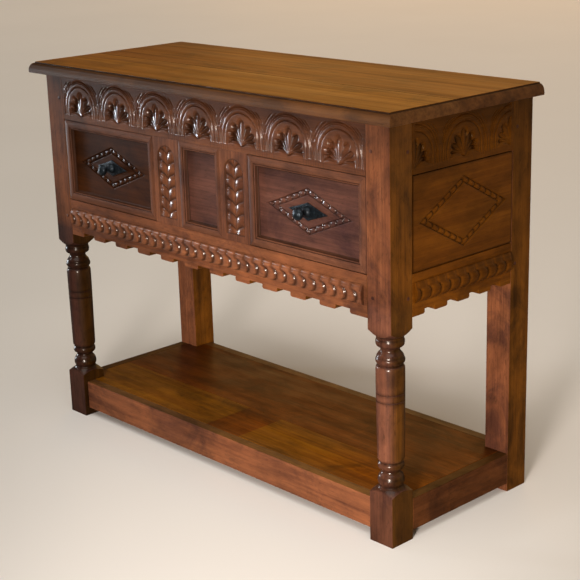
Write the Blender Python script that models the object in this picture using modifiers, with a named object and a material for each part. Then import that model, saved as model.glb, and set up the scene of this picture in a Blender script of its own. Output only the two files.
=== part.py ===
"""A carved Spanish-Colonial console table: a case with two drawers on turned legs, with a low shelf.

Metres, +Z up, front facing -Y. The origin is on the floor, under the centre of the outer box.
"""

import math

import bmesh
import bpy
from mathutils import Matrix, Vector

# Overall sizes
HEIGHT = 0.914
TOP_WIDTH = 1.200
TOP_FRONT_Y = -0.236
BACK_Y = 0.236
TOP_THICKNESS = 0.026
TOP_SEAM_Y = -0.035
EDGE_ROUND = 0.0125

# Case and posts
CASE_WIDTH = 1.142
FRONT_Y = -0.206
POST = 0.064
RAIL_THICKNESS = 0.025
OPENING_LOW_Z = 0.578
OPENING_HIGH_Z = 0.778
APRON_LOW_Z = 0.488
BACK_RAIL_HEIGHT = 0.070
MUNTIN_INNER_X = 0.070
MUNTIN_OUTER_X = 0.161
BACK_PANEL_THICKNESS = 0.010
BACK_PANEL_RECESS = 0.005

# Scalloped lower edge of the aprons
NOTCH_HEIGHT = 0.010
DROP_CORNER = 0.004
FRONT_NOTCH_PITCH = 0.0875
FRONT_NOTCH_WIDTH = 0.041
FRONT_NOTCHES = 11
SIDE_NOTCH_PITCH = 0.070
SIDE_NOTCH_WIDTH = 0.030
SIDE_NOTCHES = 4

# Half-round mouldings on the aprons
FRONT_ROUND = {"low_z": 0.514, "high_z": 0.556, "proud": 0.010, "end_gap": 0.009}
SIDE_ROUND = {"low_z": 0.516, "high_z": 0.560, "proud": 0.008, "end_gap": 0.006}

# Mitred mouldings and what they frame
MOULDING_WIDTH = 0.024
MOULDING_FLAT = 0.0165
MOULDING_THICKNESS = 0.0097
CENTRE_MOULDING_WIDTH = 0.021
FIELD_DEPTH = 0.010
MOULDING_STEP = 0.002
MOULDING_QUIRK = 0.001
PANEL_THICKNESS = 0.018
PANEL_FACE_INSET = 0.0012
PANEL_FACE_STEP = 0.006

# Drawers
DRAWER_CLEARANCE = 0.0015
DRAWER_SIDE = 0.012
DRAWER_TOP_Z = 0.760
DRAWER_BOTTOM_Z = 0.586
DRAWER_BACK_DROP = 0.005
DRAWER_BOTTOM_THICKNESS = 0.007
RUNNER_THICKNESS = 0.018
RUNNER_WIDTH = 0.040
GUIDE_HEIGHT = 0.015
GUIDE_THICKNESS = 0.012

# Pulls
PLATE_HALF_WIDTH = 0.058
PLATE_HALF_HEIGHT = 0.0195
PLATE_THICKNESS = 0.0025
KNOB_BEHIND_TOP = 0.0015
SHANK_RADIUS = 0.0030
SHANK_HOLE_RADIUS = 0.0034
NUT_RADIUS = 0.0065
NUT_THICKNESS = 0.005
SHANK_PAST_NUT = 0.005

# Stretchers and shelf
SHELF_TOP_Z = 0.092
SHELF_THICKNESS = 0.020
SHELF_SEAM_Y = -0.031
STRETCHER_THICKNESS = 0.025
STRETCHER_SETBACK = 0.011
STRETCHER_LOW_Z = 0.020

# Joints between fixed pieces
GAP = 0.0003
TENON_LENGTH = 0.026
TENON_THICKNESS = 0.010
TENON_SHOULDER = 0.012
SHELF_TONGUE = 0.006
SHELF_TONGUE_THICKNESS = 0.008
TONGUE_END = 0.012
CUT_MARGIN = 0.010
JOIN_OVERLAP = 0.020
FLAT_ANGLE = math.radians(0.1)
SMOOTH_ANGLE = math.radians(35)

# Worked out from the sizes above
RAIL_TOP_Z = HEIGHT - TOP_THICKNESS
HALF_CASE = CASE_WIDTH / 2
POST_INNER_X = HALF_CASE - POST
POST_FRONT_BACK_Y = FRONT_Y + POST
POST_BACK_FRONT_Y = BACK_Y - POST
RAIL_BACK_Y = FRONT_Y + RAIL_THICKNESS
BACK_RAIL_FRONT_Y = BACK_Y - RAIL_THICKNESS
SIDE_RAIL_INNER_X = HALF_CASE - RAIL_THICKNESS
SIDE_CENTRE_Y = (POST_FRONT_BACK_Y + POST_BACK_FRONT_Y) / 2
BACK_PANEL_FRONT_Y = BACK_RAIL_FRONT_Y + BACK_PANEL_RECESS
FIELD_Y = FRONT_Y + FIELD_DEPTH
FIELD_BACK_Y = FIELD_Y + PANEL_THICKNESS
OPENING_MIDDLE_Z = (OPENING_LOW_Z + OPENING_HIGH_Z) / 2
TONGUE_LOW_Z = SHELF_TOP_Z - (SHELF_THICKNESS + SHELF_TONGUE_THICKNESS) / 2
TONGUE_HIGH_Z = SHELF_TOP_Z - (SHELF_THICKNESS - SHELF_TONGUE_THICKNESS) / 2

STAINED = {"colour": (0.13, 0.045, 0.018), "roughness": 0.42, "metallic": 0.0}
TOP_FINISH = {"colour": (0.26, 0.12, 0.035), "roughness": 0.35, "metallic": 0.0}
PLAIN_WOOD = {"colour": (0.42, 0.27, 0.14), "roughness": 0.65, "metallic": 0.0}
IRON = {"colour": (0.03, 0.04, 0.05), "roughness": 0.40, "metallic": 0.8}


def clear_scene():
    for found in list(bpy.data.objects):
        bpy.data.objects.remove(found, do_unlink=True)


def new_collection(name):
    made = bpy.data.collections.new(name)
    bpy.context.scene.collection.children.link(made)
    return made


def finish(name, mesh, look, location=(0.0, 0.0, 0.0)):
    """A named part with its own material, in the table's collection."""
    part = bpy.data.objects.new(name, mesh)
    part.location = location
    TABLE.objects.link(part)
    material = bpy.data.materials.new(name)
    material.use_nodes = True
    shader = material.node_tree.nodes["Principled BSDF"]
    shader.inputs["Base Color"].default_value = (*look["colour"], 1.0)
    shader.inputs["Roughness"].default_value = look["roughness"]
    shader.inputs["Metallic"].default_value = look["metallic"]
    mesh.materials.append(material)
    return part


def as_cutter(cutter):
    CUTTERS.objects.link(cutter)
    cutter.hide_render = True
    cutter.display_type = "WIRE"
    return cutter


def add_box(mesh_data, low, high):
    """A box between two corners, added to the bmesh given."""
    low, high = Vector(low), Vector(high)
    size = high - low
    place = Matrix.Translation((low + high) / 2) @ Matrix.Diagonal((*size, 1.0))
    return bmesh.ops.create_cube(mesh_data, size=1.0, matrix=place)["verts"]


def mesh_from(mesh_data, name):
    mesh = bpy.data.meshes.new(name)
    mesh_data.to_mesh(mesh)
    mesh_data.free()
    return mesh


def board(name, low, high, look):
    """A plain board between two corners, with its origin at its centre."""
    centre = (Vector(low) + Vector(high)) / 2
    shape = bmesh.new()
    add_box(shape, Vector(low) - centre, Vector(high) - centre)
    return finish(name, mesh_from(shape, name), look, centre)


def cut(part, cutter, operation="DIFFERENCE"):
    modifier = part.modifiers.new(operation.lower(), "BOOLEAN")
    modifier.operation = operation
    modifier.solver = "EXACT"
    modifier.object = cutter
    return modifier


def box_cutter(name, boxes):
    """One wire cutter made of separate boxes that don't touch."""
    shape = bmesh.new()
    for low, high in boxes:
        add_box(shape, low, high)
    return as_cutter(bpy.data.objects.new(name, mesh_from(shape, name)))


def outline_curve(name, points, thickness):
    """A flat outline in its own X-Y plane, with the thickness given, centred on that plane."""
    curve = bpy.data.curves.new(name, "CURVE")
    curve.dimensions = "2D"
    curve.fill_mode = "BOTH"
    curve.extrude = thickness / 2
    spline = curve.splines.new("POLY")
    spline.points.add(len(points) - 1)
    for slot, (across, up) in zip(spline.points, points):
        slot.co = (across, up, 0.0, 1.0)
    spline.use_cyclic_u = True
    return bpy.data.objects.new(name, curve)


def meshed(guide):
    """The welded mesh of an object in world space, its flat faces joined up, and the object is removed."""
    CUTTERS.objects.link(guide)
    bpy.context.view_layer.update()
    evaluated = guide.evaluated_get(bpy.context.evaluated_depsgraph_get())
    mesh = bpy.data.meshes.new_from_object(evaluated)
    mesh.name = guide.name
    mesh.transform(guide.matrix_world)
    mesh.materials.clear()
    shape = bmesh.new()
    shape.from_mesh(mesh)
    bmesh.ops.remove_doubles(shape, verts=shape.verts, dist=0.00001)
    bmesh.ops.recalc_face_normals(shape, faces=shape.faces)
    bmesh.ops.dissolve_limit(shape, angle_limit=FLAT_ANGLE, verts=shape.verts, edges=shape.edges)
    shape.to_mesh(mesh)
    shape.free()
    bpy.data.objects.remove(guide, do_unlink=True)
    return mesh


def prism(name, points, thickness, frame):
    """A mesh of an outline, its own X, Y and Z laid along the frame's columns at the frame's place."""
    guide = outline_curve(name, points, thickness)
    guide.matrix_world = frame
    return meshed(guide)


def frame_of(origin, across, up):
    """A matrix that lays an outline's X along `across` and its Y along `up`."""
    across, up = Vector(across), Vector(up)
    matrix = Matrix((across, up, across.cross(up))).transposed().to_4x4()
    matrix.translation = Vector(origin)
    return matrix


def turned(name, profile, steps):
    """A closed turned shape about +Z. The profile runs top to bottom as (radius, height) pairs."""
    mesh = bpy.data.meshes.new(name)
    points = [(radius, 0.0, height) for radius, height in profile]
    mesh.from_pydata(points, [(i, i + 1) for i in range(len(points) - 1)], [])
    shape = bpy.data.objects.new(name, mesh)
    screw = shape.modifiers.new("turning", "SCREW")
    screw.steps = steps
    screw.render_steps = steps
    screw.use_merge_vertices = True
    screw.merge_threshold = 0.00005
    screw.use_smooth_shade = True
    return shape


def shade_round(mesh):
    mesh.shade_smooth()
    mesh.set_sharp_from_angle(angle=SMOOTH_ANGLE)


# Legs


def turned_leg_profile():
    """Radius and height of the turning, top to bottom. Above a post's half-diagonal it stays square."""
    square = 0.050
    above, below = RAIL_TOP_Z + CUT_MARGIN, -CUT_MARGIN
    top_half = [
        (0.0, above),
        (square, above),
        (square, 0.4685),
        (0.0290, 0.453),
        (0.0285, 0.448),
        (0.0295, 0.439),
        (0.0265, 0.431),
        (0.0198, 0.424),
        (0.0215, 0.417),
        (0.0285, 0.409),
        (0.0302, 0.402),
        (0.0285, 0.395),
        (0.0262, 0.391),
        (0.0290, 0.388),
        (0.0302, 0.380),
    ]
    lower_half = [
        (0.0286, 0.188),
        (0.0255, 0.180),
        (0.0278, 0.172),
        (0.0262, 0.165),
        (0.0200, 0.158),
        (0.0230, 0.152),
        (0.0272, 0.143),
        (0.0280, 0.137),
        (0.0250, 0.128),
        (0.0275, 0.122),
        (square, 0.109),
        (square, below),
        (0.0, below),
    ]
    return top_half + lower_half


def mortises(side_x, front):
    """Boxes for the mortises of one leg: those facing the rails along X, and those along Y."""
    inner_x = side_x * POST_INNER_X
    deep_x = inner_x + side_x * (TENON_LENGTH + GAP)
    open_x = inner_x - side_x * CUT_MARGIN
    low_x, high_x = sorted((open_x, deep_x))
    middle_y = FRONT_Y + RAIL_THICKNESS / 2 if front else BACK_Y - RAIL_THICKNESS / 2
    half = TENON_THICKNESS / 2 + GAP
    boxes = []
    for low_z, high_z in (front_tenons() if front else back_tenons()):
        boxes.append(((low_x, middle_y - half, low_z - GAP), (high_x, middle_y + half, high_z + GAP)))
    foot_y = stretcher_middle_y(front)
    low_z, high_z = stretcher_tenon()
    boxes.append(((low_x, foot_y - half, low_z - GAP), (high_x, foot_y + half, high_z + GAP)))
    inner_y = POST_FRONT_BACK_Y if front else POST_BACK_FRONT_Y
    toward = -1 if front else 1
    low_y, high_y = sorted((inner_y - toward * CUT_MARGIN, inner_y + toward * (TENON_LENGTH + GAP)))
    middle_x = side_x * (HALF_CASE - RAIL_THICKNESS / 2)
    for low_z, high_z in side_tenons():
        boxes.append(((middle_x - half, low_y, low_z - GAP), (middle_x + half, high_y, high_z + GAP)))
    return boxes


def front_tenons():
    upper = (OPENING_HIGH_Z + TENON_SHOULDER, RAIL_TOP_Z - TENON_SHOULDER)
    lower = (APRON_LOW_Z + NOTCH_HEIGHT + TENON_SHOULDER, OPENING_LOW_Z - TENON_SHOULDER)
    return upper, lower


def back_tenons():
    upper = (RAIL_TOP_Z - BACK_RAIL_HEIGHT + TENON_SHOULDER, RAIL_TOP_Z - TENON_SHOULDER)
    lower = (OPENING_LOW_Z - BACK_RAIL_HEIGHT + TENON_SHOULDER, OPENING_LOW_Z - TENON_SHOULDER)
    return upper, lower


def stretcher_tenon():
    return STRETCHER_LOW_Z + TENON_SHOULDER, SHELF_TOP_Z - TENON_SHOULDER


def side_tenons():
    return (*front_tenons(), stretcher_tenon())


def stretcher_middle_y(front):
    face = FRONT_Y + STRETCHER_SETBACK if front else BACK_Y - STRETCHER_SETBACK
    inward = 1 if front else -1
    return face + inward * STRETCHER_THICKNESS / 2


def leg(name, side_x, front):
    """A square post, turned between its blocks where it stands in front, with its mortises."""
    centre = Vector((side_x * (HALF_CASE - POST / 2), (FRONT_Y if front else BACK_Y - POST) + POST / 2, 0.0))
    shape = bmesh.new()
    add_box(shape, (-POST / 2, -POST / 2, 0.0), (POST / 2, POST / 2, RAIL_TOP_Z - GAP))
    part = finish(name, mesh_from(shape, name), STAINED, centre)
    if front:
        turning = as_cutter(turned(name + "_turning", turned_leg_profile(), 20))
        turning.location = centre
        cut(part, turning, "INTERSECT")
    cut(part, box_cutter(name + "_mortises", mortises(side_x, front)))


# Rails and aprons


def tenoned(name, mesh, look, tenons):
    """A rail's mesh in world space, with its tenons joined on."""
    part = finish(name, mesh, look)
    tenon_boxes = box_cutter(name + "_tenons", tenons)
    cut(part, tenon_boxes, "UNION")


def x_tenons(middle_y, low_z, high_z):
    """The two tenons of a rail that runs along X. Each starts well inside the rail."""
    half = TENON_THICKNESS / 2
    boxes = []
    for side in (-1, 1):
        low_x, high_x = sorted((side * (POST_INNER_X - JOIN_OVERLAP), side * (POST_INNER_X + TENON_LENGTH)))
        boxes.append(((low_x, middle_y - half, low_z), (high_x, middle_y + half, high_z)))
    return boxes


def y_tenons(side_x, low_z, high_z):
    """The two tenons of a rail that runs along Y."""
    half = TENON_THICKNESS / 2
    middle_x = side_x * (HALF_CASE - RAIL_THICKNESS / 2)
    front = (POST_FRONT_BACK_Y - TENON_LENGTH, POST_FRONT_BACK_Y + JOIN_OVERLAP)
    back = (POST_BACK_FRONT_Y - JOIN_OVERLAP, POST_BACK_FRONT_Y + TENON_LENGTH)
    boxes = []
    for low_y, high_y in (front, back):
        boxes.append(((middle_x - half, low_y, low_z), (middle_x + half, high_y, high_z)))
    return boxes


def rail_along_x(name, face_y, low_z, high_z, tenon):
    """A straight rail between the posts, with its lower Y face at face_y."""
    shape = bmesh.new()
    reach = POST_INNER_X - GAP
    add_box(shape, (-reach, face_y, low_z), (reach, face_y + RAIL_THICKNESS, high_z))
    tenoned(name, mesh_from(shape, name), STAINED, x_tenons(face_y + RAIL_THICKNESS / 2, *tenon))


def rail_along_y(name, side_x, low_z, high_z, tenon):
    shape = bmesh.new()
    inner, outer = sorted((side_x * SIDE_RAIL_INNER_X, side_x * HALF_CASE))
    add_box(shape, (inner, POST_FRONT_BACK_Y + GAP, low_z), (outer, POST_BACK_FRONT_Y - GAP, high_z))
    tenoned(name, mesh_from(shape, name), STAINED, y_tenons(side_x, *tenon))


def notch_outline(middle, width, low_z):
    """One notch's outline: a square top, and a rounding of the drops' corners on each side below."""
    arc_steps = 2
    below = low_z - CUT_MARGIN
    left, right = middle - width / 2, middle + width / 2
    points = [(left - DROP_CORNER, below)]
    for step in range(arc_steps + 1):
        turn = math.radians(90 * step / arc_steps)
        across = left - DROP_CORNER + DROP_CORNER * math.sin(turn)
        points.append((across, low_z + DROP_CORNER * (1 - math.cos(turn))))
    points.append((left, low_z + NOTCH_HEIGHT))
    points.append((right, low_z + NOTCH_HEIGHT))
    for step in range(arc_steps + 1):
        turn = math.radians(90 * step / arc_steps)
        across = right + DROP_CORNER * (1 - math.cos(turn))
        points.append((across, low_z + DROP_CORNER * (1 - math.sin(turn))))
    points.append((right + DROP_CORNER, below))
    return points


def cut_notches(name, pitch, width, count, frame):
    """Cuts the scalloped lower edge of the apron named, along the frame's own X."""
    for number in range(count):
        middle = (number - (count - 1) / 2) * pitch
        points = notch_outline(middle, width, APRON_LOW_Z)
        cutter_name = f"{name}_notch_{number + 1:02d}"
        mesh = prism(cutter_name, points, 2 * RAIL_THICKNESS, frame)
        cut(bpy.data.objects[name], as_cutter(bpy.data.objects.new(cutter_name, mesh)))


def half_round(name, sizes, half_length, frame):
    """A moulding of half-oval section. The outline's X stands out of the apron and its Y is up."""
    arc_steps = 8
    middle_z = (sizes["low_z"] + sizes["high_z"]) / 2
    half_height = (sizes["high_z"] - sizes["low_z"]) / 2
    points = []
    for step in range(arc_steps + 1):
        turn = math.radians(180 * step / arc_steps - 90)
        points.append((GAP + sizes["proud"] * math.cos(turn), middle_z + half_height * math.sin(turn)))
    mesh = prism(name, points, 2 * half_length, frame)
    shade_round(mesh)
    finish(name, mesh, STAINED)


# Flush panels and mitred mouldings


def side_panel(name, side_x):
    """A flush panel whose face is a little smaller than its back, which leaves a thin line all round."""
    low = Vector((HALF_CASE - PANEL_THICKNESS, POST_FRONT_BACK_Y + GAP, OPENING_LOW_Z + GAP))
    high = Vector((HALF_CASE - PANEL_FACE_STEP, POST_BACK_FRONT_Y - GAP, OPENING_HIGH_Z - GAP))
    shape = bmesh.new()
    add_box(shape, low, high)
    shape.faces.ensure_lookup_table()
    outer = [face for face in shape.faces if face.normal.x > 0.9]
    bmesh.ops.inset_region(shape, faces=outer, thickness=PANEL_FACE_INSET, use_even_offset=True)
    raised = bmesh.ops.extrude_face_region(shape, geom=outer)
    corners = [item for item in raised["geom"] if isinstance(item, bmesh.types.BMVert)]
    bmesh.ops.delete(shape, geom=outer, context="FACES_ONLY")
    bmesh.ops.translate(shape, verts=corners, vec=(PANEL_FACE_STEP, 0, 0))
    if side_x < 0:
        bmesh.ops.scale(shape, vec=(-1, 1, 1), verts=shape.verts)
        bmesh.ops.reverse_faces(shape, faces=shape.faces)
    finish(name, mesh_from(shape, name), STAINED)


def moulding_profile(width):
    """The section of a frame moulding: flat, then an ovolo and a small step down to the field."""
    arc_steps = 3
    fall = width - MOULDING_FLAT
    points = [(0.0, 0.0), (0.0, MOULDING_THICKNESS), (MOULDING_FLAT, MOULDING_THICKNESS)]
    for step in range(arc_steps + 1):
        turn = math.radians(90 * step / arc_steps)
        across = MOULDING_FLAT + MOULDING_QUIRK + (fall - MOULDING_QUIRK) * math.sin(turn)
        height = MOULDING_STEP + (MOULDING_THICKNESS - 2 * MOULDING_STEP) * math.cos(turn)
        points.append((across, height))
    points.append((width, 0.0))
    return points


def mitred_strip(name, width, start, end, inward):
    """One side of a mitred frame. It runs along its outer edge, and its width goes inward."""
    start, end, inward = Vector(start), Vector(end), Vector(inward)
    along = (end - start).normalized()
    length = (end - start).length
    out = Vector((0, -1, 0))
    frame = Matrix((inward, out, inward.cross(out))).transposed().to_4x4()
    frame.translation = (start + end) / 2
    mesh = prism(name, moulding_profile(width), length, frame)
    middle = (start + end) / 2
    for vertex in mesh.vertices:
        offset = vertex.co - middle
        across = offset.dot(inward)
        side = 1 if offset.dot(along) > 0 else -1
        vertex.co -= along * side * across
    finish(name, mesh, STAINED)


def mitred_frame(prefix, low_x, high_x, low_z, high_z, width, base_y):
    """Four mitred strips laid on a board whose face is at base_y."""
    y = base_y - GAP
    left, right = low_x + GAP, high_x - GAP
    low, high = low_z + GAP, high_z - GAP
    mitred_strip(prefix + "_top", width, (left, y, high_z), (right, y, high_z), (0, 0, -1))
    mitred_strip(prefix + "_bottom", width, (left, y, low_z), (right, y, low_z), (0, 0, 1))
    mitred_strip(prefix + "_left", width, (low_x, y, low), (low_x, y, high), (1, 0, 0))
    mitred_strip(prefix + "_right", width, (high_x, y, low), (high_x, y, high), (-1, 0, 0))


# The main assemblies


def top_boards():
    """Two boards glued edge to edge, with a rounded upper edge at the front and both ends."""
    spans = {
        "top_board_front": (TOP_FRONT_Y, TOP_SEAM_Y - GAP / 2),
        "top_board_back": (TOP_SEAM_Y + GAP / 2, BACK_Y),
    }
    for name, (front_y, back_y) in spans.items():
        shape = bmesh.new()
        add_box(shape, (-TOP_WIDTH / 2, front_y, RAIL_TOP_Z), (TOP_WIDTH / 2, back_y, HEIGHT))
        rounded = []
        for edge in shape.edges:
            middle = (edge.verts[0].co + edge.verts[1].co) / 2
            on_top = middle.z > HEIGHT - GAP
            at_end = abs(middle.x) > TOP_WIDTH / 2 - GAP
            at_front = middle.y < TOP_FRONT_Y + GAP
            if on_top and (at_end or at_front):
                rounded.append(edge)
        bmesh.ops.bevel(shape, geom=rounded, offset=EDGE_ROUND, segments=4, profile=0.5, affect="EDGES")
        finish(name, mesh_from(shape, name), TOP_FINISH)


def case_frame():
    for side, side_x in (("left", -1), ("right", 1)):
        leg("leg_front_" + side, side_x, True)
        leg("leg_back_" + side, side_x, False)
        rail_along_y("frieze_" + side, side_x, OPENING_HIGH_Z, RAIL_TOP_Z - GAP, front_tenons()[0])
        rail_along_y("apron_" + side, side_x, APRON_LOW_Z, OPENING_LOW_Z, front_tenons()[1])
        middle_x = side_x * (HALF_CASE - RAIL_THICKNESS / 2)
        frame = frame_of((middle_x, SIDE_CENTRE_Y, 0), (0, 1, 0), (0, 0, 1))
        cut_notches("apron_" + side, SIDE_NOTCH_PITCH, SIDE_NOTCH_WIDTH, SIDE_NOTCHES, frame)
        side_panel("side_panel_" + side, side_x)
        half_length = SIDE_CENTRE_Y - POST_FRONT_BACK_Y - SIDE_ROUND["end_gap"]
        frame = frame_of((side_x * HALF_CASE, SIDE_CENTRE_Y, 0), (side_x, 0, 0), (0, 0, 1))
        half_round("gadroon_" + side, SIDE_ROUND, half_length, frame)
    rail_along_x("frieze_front", FRONT_Y, OPENING_HIGH_Z, RAIL_TOP_Z - GAP, front_tenons()[0])
    rail_along_x("apron_front", FRONT_Y, APRON_LOW_Z, OPENING_LOW_Z, front_tenons()[1])
    frame = frame_of((0, FRONT_Y + RAIL_THICKNESS / 2, 0), (1, 0, 0), (0, 0, 1))
    cut_notches("apron_front", FRONT_NOTCH_PITCH, FRONT_NOTCH_WIDTH, FRONT_NOTCHES, frame)
    half_length = POST_INNER_X - FRONT_ROUND["end_gap"]
    half_round("gadroon_front", FRONT_ROUND, half_length, frame_of((0, FRONT_Y, 0), (0, -1, 0), (0, 0, 1)))
    upper, lower = back_tenons()
    rail_along_x(
        "back_rail_top", BACK_RAIL_FRONT_Y, RAIL_TOP_Z - BACK_RAIL_HEIGHT, RAIL_TOP_Z - GAP, upper
    )
    low_z = OPENING_LOW_Z - BACK_RAIL_HEIGHT
    rail_along_x("back_rail_bottom", BACK_RAIL_FRONT_Y, low_z, OPENING_LOW_Z, lower)


def case_panels():
    board(
        "back_panel",
        (-POST_INNER_X + GAP, BACK_PANEL_FRONT_Y, OPENING_LOW_Z + GAP),
        (POST_INNER_X - GAP, BACK_PANEL_FRONT_Y + BACK_PANEL_THICKNESS, RAIL_TOP_Z - BACK_RAIL_HEIGHT - GAP),
        PLAIN_WOOD,
    )
    for side, side_x in (("left", -1), ("right", 1)):
        low_x, high_x = sorted((side_x * MUNTIN_INNER_X, side_x * MUNTIN_OUTER_X))
        board(
            "muntin_" + side,
            (low_x, FRONT_Y, OPENING_LOW_Z + GAP),
            (high_x, RAIL_BACK_Y, OPENING_HIGH_Z - GAP),
            STAINED,
        )
    half = MUNTIN_INNER_X - GAP
    low_z, high_z = OPENING_LOW_Z + GAP, OPENING_HIGH_Z - GAP
    board("centre_panel", (-half, FIELD_Y, low_z), (half, FIELD_BACK_Y, high_z), STAINED)
    mitred_frame("centre_moulding", -half, half, low_z, high_z, CENTRE_MOULDING_WIDTH, FIELD_Y)


def runner_outline(guide_low, guide_high, low_x, high_x):
    """A runner's section with one raised guide on it, counter-clockwise from the lower left."""
    bottom, top = OPENING_LOW_Z - RUNNER_THICKNESS, OPENING_LOW_Z
    ridge = top + GUIDE_HEIGHT
    return [
        (low_x, bottom),
        (high_x, bottom),
        (high_x, top),
        (guide_high, top),
        (guide_high, ridge),
        (guide_low, ridge),
        (guide_low, top),
        (low_x, top),
    ]


def drawer_runners():
    """Boards that carry the drawers' sides, with guides that keep the drawers straight."""
    outer = SIDE_RAIL_INNER_X - GAP
    inner = POST_INNER_X - RUNNER_WIDTH
    front_y, back_y = POST_FRONT_BACK_Y + GAP, POST_BACK_FRONT_Y - GAP
    for side, side_x in (("left", -1), ("right", 1)):
        guide = sorted((side_x * POST_INNER_X, side_x * (POST_INNER_X + GUIDE_THICKNESS)))
        ends = sorted((side_x * inner, side_x * outer))
        frame = frame_of((0, (front_y + back_y) / 2, 0), (1, 0, 0), (0, 0, 1))
        name = "drawer_runner_" + side
        mesh = prism(name, runner_outline(*guide, *ends), back_y - front_y, frame)
        finish(name, mesh, PLAIN_WOOD)
    front_y, back_y = FIELD_BACK_Y + GAP, BACK_RAIL_FRONT_Y - GAP
    reach = MUNTIN_OUTER_X + RUNNER_WIDTH
    frame = frame_of((0, (front_y + back_y) / 2, 0), (1, 0, 0), (0, 0, 1))
    points = runner_outline(-MUNTIN_OUTER_X, MUNTIN_OUTER_X, -reach, reach)
    mesh = prism("drawer_runner_centre", points, back_y - front_y, frame)
    finish("drawer_runner_centre", mesh, PLAIN_WOOD)


def shelf_tongues(narrow, wide, edge_y, outward, side_span):
    """A shelf board's tongues: one along its outer edge and one at each end. They don't meet."""
    end = narrow - TONGUE_END
    low_y, high_y = sorted((edge_y - outward * CUT_MARGIN, edge_y + outward * SHELF_TONGUE))
    tongues = [((-end, low_y, TONGUE_LOW_Z), (end, high_y, TONGUE_HIGH_Z))]
    low_y, high_y = side_span[0] + TONGUE_END, side_span[1] - TONGUE_END
    for side in (-1, 1):
        low_x, high_x = sorted((side * (wide - CUT_MARGIN), side * (wide + SHELF_TONGUE)))
        tongues.append(((low_x, low_y, TONGUE_LOW_Z), (high_x, high_y, TONGUE_HIGH_Z)))
    return tongues


def stretchers_and_shelf():
    reach = POST_INNER_X - GAP
    for side, front in (("front", True), ("back", False)):
        middle_y = stretcher_middle_y(front)
        shape = bmesh.new()
        half = STRETCHER_THICKNESS / 2
        low_corner = (-reach, middle_y - half, STRETCHER_LOW_Z)
        add_box(shape, low_corner, (reach, middle_y + half, SHELF_TOP_Z))
        tenons = x_tenons(middle_y, *stretcher_tenon())
        name = "stretcher_" + side
        tenoned(name, mesh_from(shape, name), STAINED, tenons)
        inward = 1 if front else -1
        inner_y = middle_y + inward * half
        end = reach - CUT_MARGIN
        near, far = sorted((inner_y + inward * CUT_MARGIN, inner_y - inward * (SHELF_TONGUE + GAP)))
        groove = ((-end, near, TONGUE_LOW_Z - GAP), (end, far, TONGUE_HIGH_Z + GAP))
        cut(bpy.data.objects[name], box_cutter(name + "_groove", [groove]))
    for side, side_x in (("left", -1), ("right", 1)):
        name = "stretcher_" + side
        rail_along_y(name, side_x, STRETCHER_LOW_Z, SHELF_TOP_Z, stretcher_tenon())
        deep = SIDE_RAIL_INNER_X + SHELF_TONGUE + GAP
        near, far = sorted((side_x * (SIDE_RAIL_INNER_X - CUT_MARGIN), side_x * deep))
        low_y, high_y = POST_FRONT_BACK_Y + CUT_MARGIN, POST_BACK_FRONT_Y - CUT_MARGIN
        groove = ((near, low_y, TONGUE_LOW_Z - GAP), (far, high_y, TONGUE_HIGH_Z + GAP))
        cut(bpy.data.objects[name], box_cutter(name + "_groove", [groove]))
    front_y = stretcher_middle_y(True) + STRETCHER_THICKNESS / 2 + GAP
    back_y = stretcher_middle_y(False) - STRETCHER_THICKNESS / 2 - GAP
    wide, narrow = SIDE_RAIL_INNER_X - GAP, POST_INNER_X - GAP
    front_step, back_step = POST_FRONT_BACK_Y + GAP, POST_BACK_FRONT_Y - GAP
    boards = (
        ("shelf_board_front", front_y, front_step, -1, SHELF_SEAM_Y - GAP / 2),
        ("shelf_board_back", back_y, back_step, 1, SHELF_SEAM_Y + GAP / 2),
    )
    for name, edge_y, step_y, outward, seam_y in boards:
        low_y, high_y = sorted((edge_y, seam_y))
        low, high = (-wide, low_y, SHELF_TOP_Z - SHELF_THICKNESS), (wide, high_y, SHELF_TOP_Z)
        board(name, low, high, TOP_FINISH)
        part = bpy.data.objects[name]
        low_y, high_y = sorted((edge_y + outward * CUT_MARGIN, step_y))
        corners = []
        for side in (-1, 1):
            low_x, high_x = sorted((side * narrow, side * (wide + CUT_MARGIN)))
            corner_low = (low_x, low_y, low[2] - CUT_MARGIN)
            corners.append((corner_low, (high_x, high_y, high[2] + CUT_MARGIN)))
        cut(part, box_cutter(name + "_corners", corners))
        tongues = shelf_tongues(narrow, wide, edge_y, outward, sorted((step_y, seam_y)))
        cut(part, box_cutter(name + "_tongues", tongues), "UNION")


# Drawers


def drawer_slide(prefix, centre_x):
    """The empty that a drawer's pieces hang from. Its Y axis is the direction of travel."""
    slide = bpy.data.objects.new(prefix + "_slide", None)
    slide.location = (centre_x, FRONT_Y, OPENING_MIDDLE_Z)
    TABLE.objects.link(slide)
    return slide


def pull_profile(plate_y):
    """Radius and height of a turned knob and its shank, top to bottom. Its head is toward +Z."""
    head_front = plate_y - (TOP_FRONT_Y + KNOB_BEHIND_TOP)
    tail = -(PLATE_THICKNESS + PANEL_THICKNESS + NUT_THICKNESS + SHANK_PAST_NUT)
    return [
        (0.0, head_front),
        (0.0060, head_front - 0.0010),
        (0.0115, head_front - 0.0045),
        (0.0132, head_front - 0.0085),
        (0.0115, head_front - 0.0125),
        (0.0065, head_front - 0.0155),
        (0.0050, head_front - 0.0175),
        (0.0050, 0.0100),
        (0.0080, 0.0060),
        (0.0115, 0.0035),
        (0.0125, 0.0015),
        (0.0125, GAP),
        (SHANK_RADIUS, GAP),
        (SHANK_RADIUS, tail),
        (0.0, tail),
    ]


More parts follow.
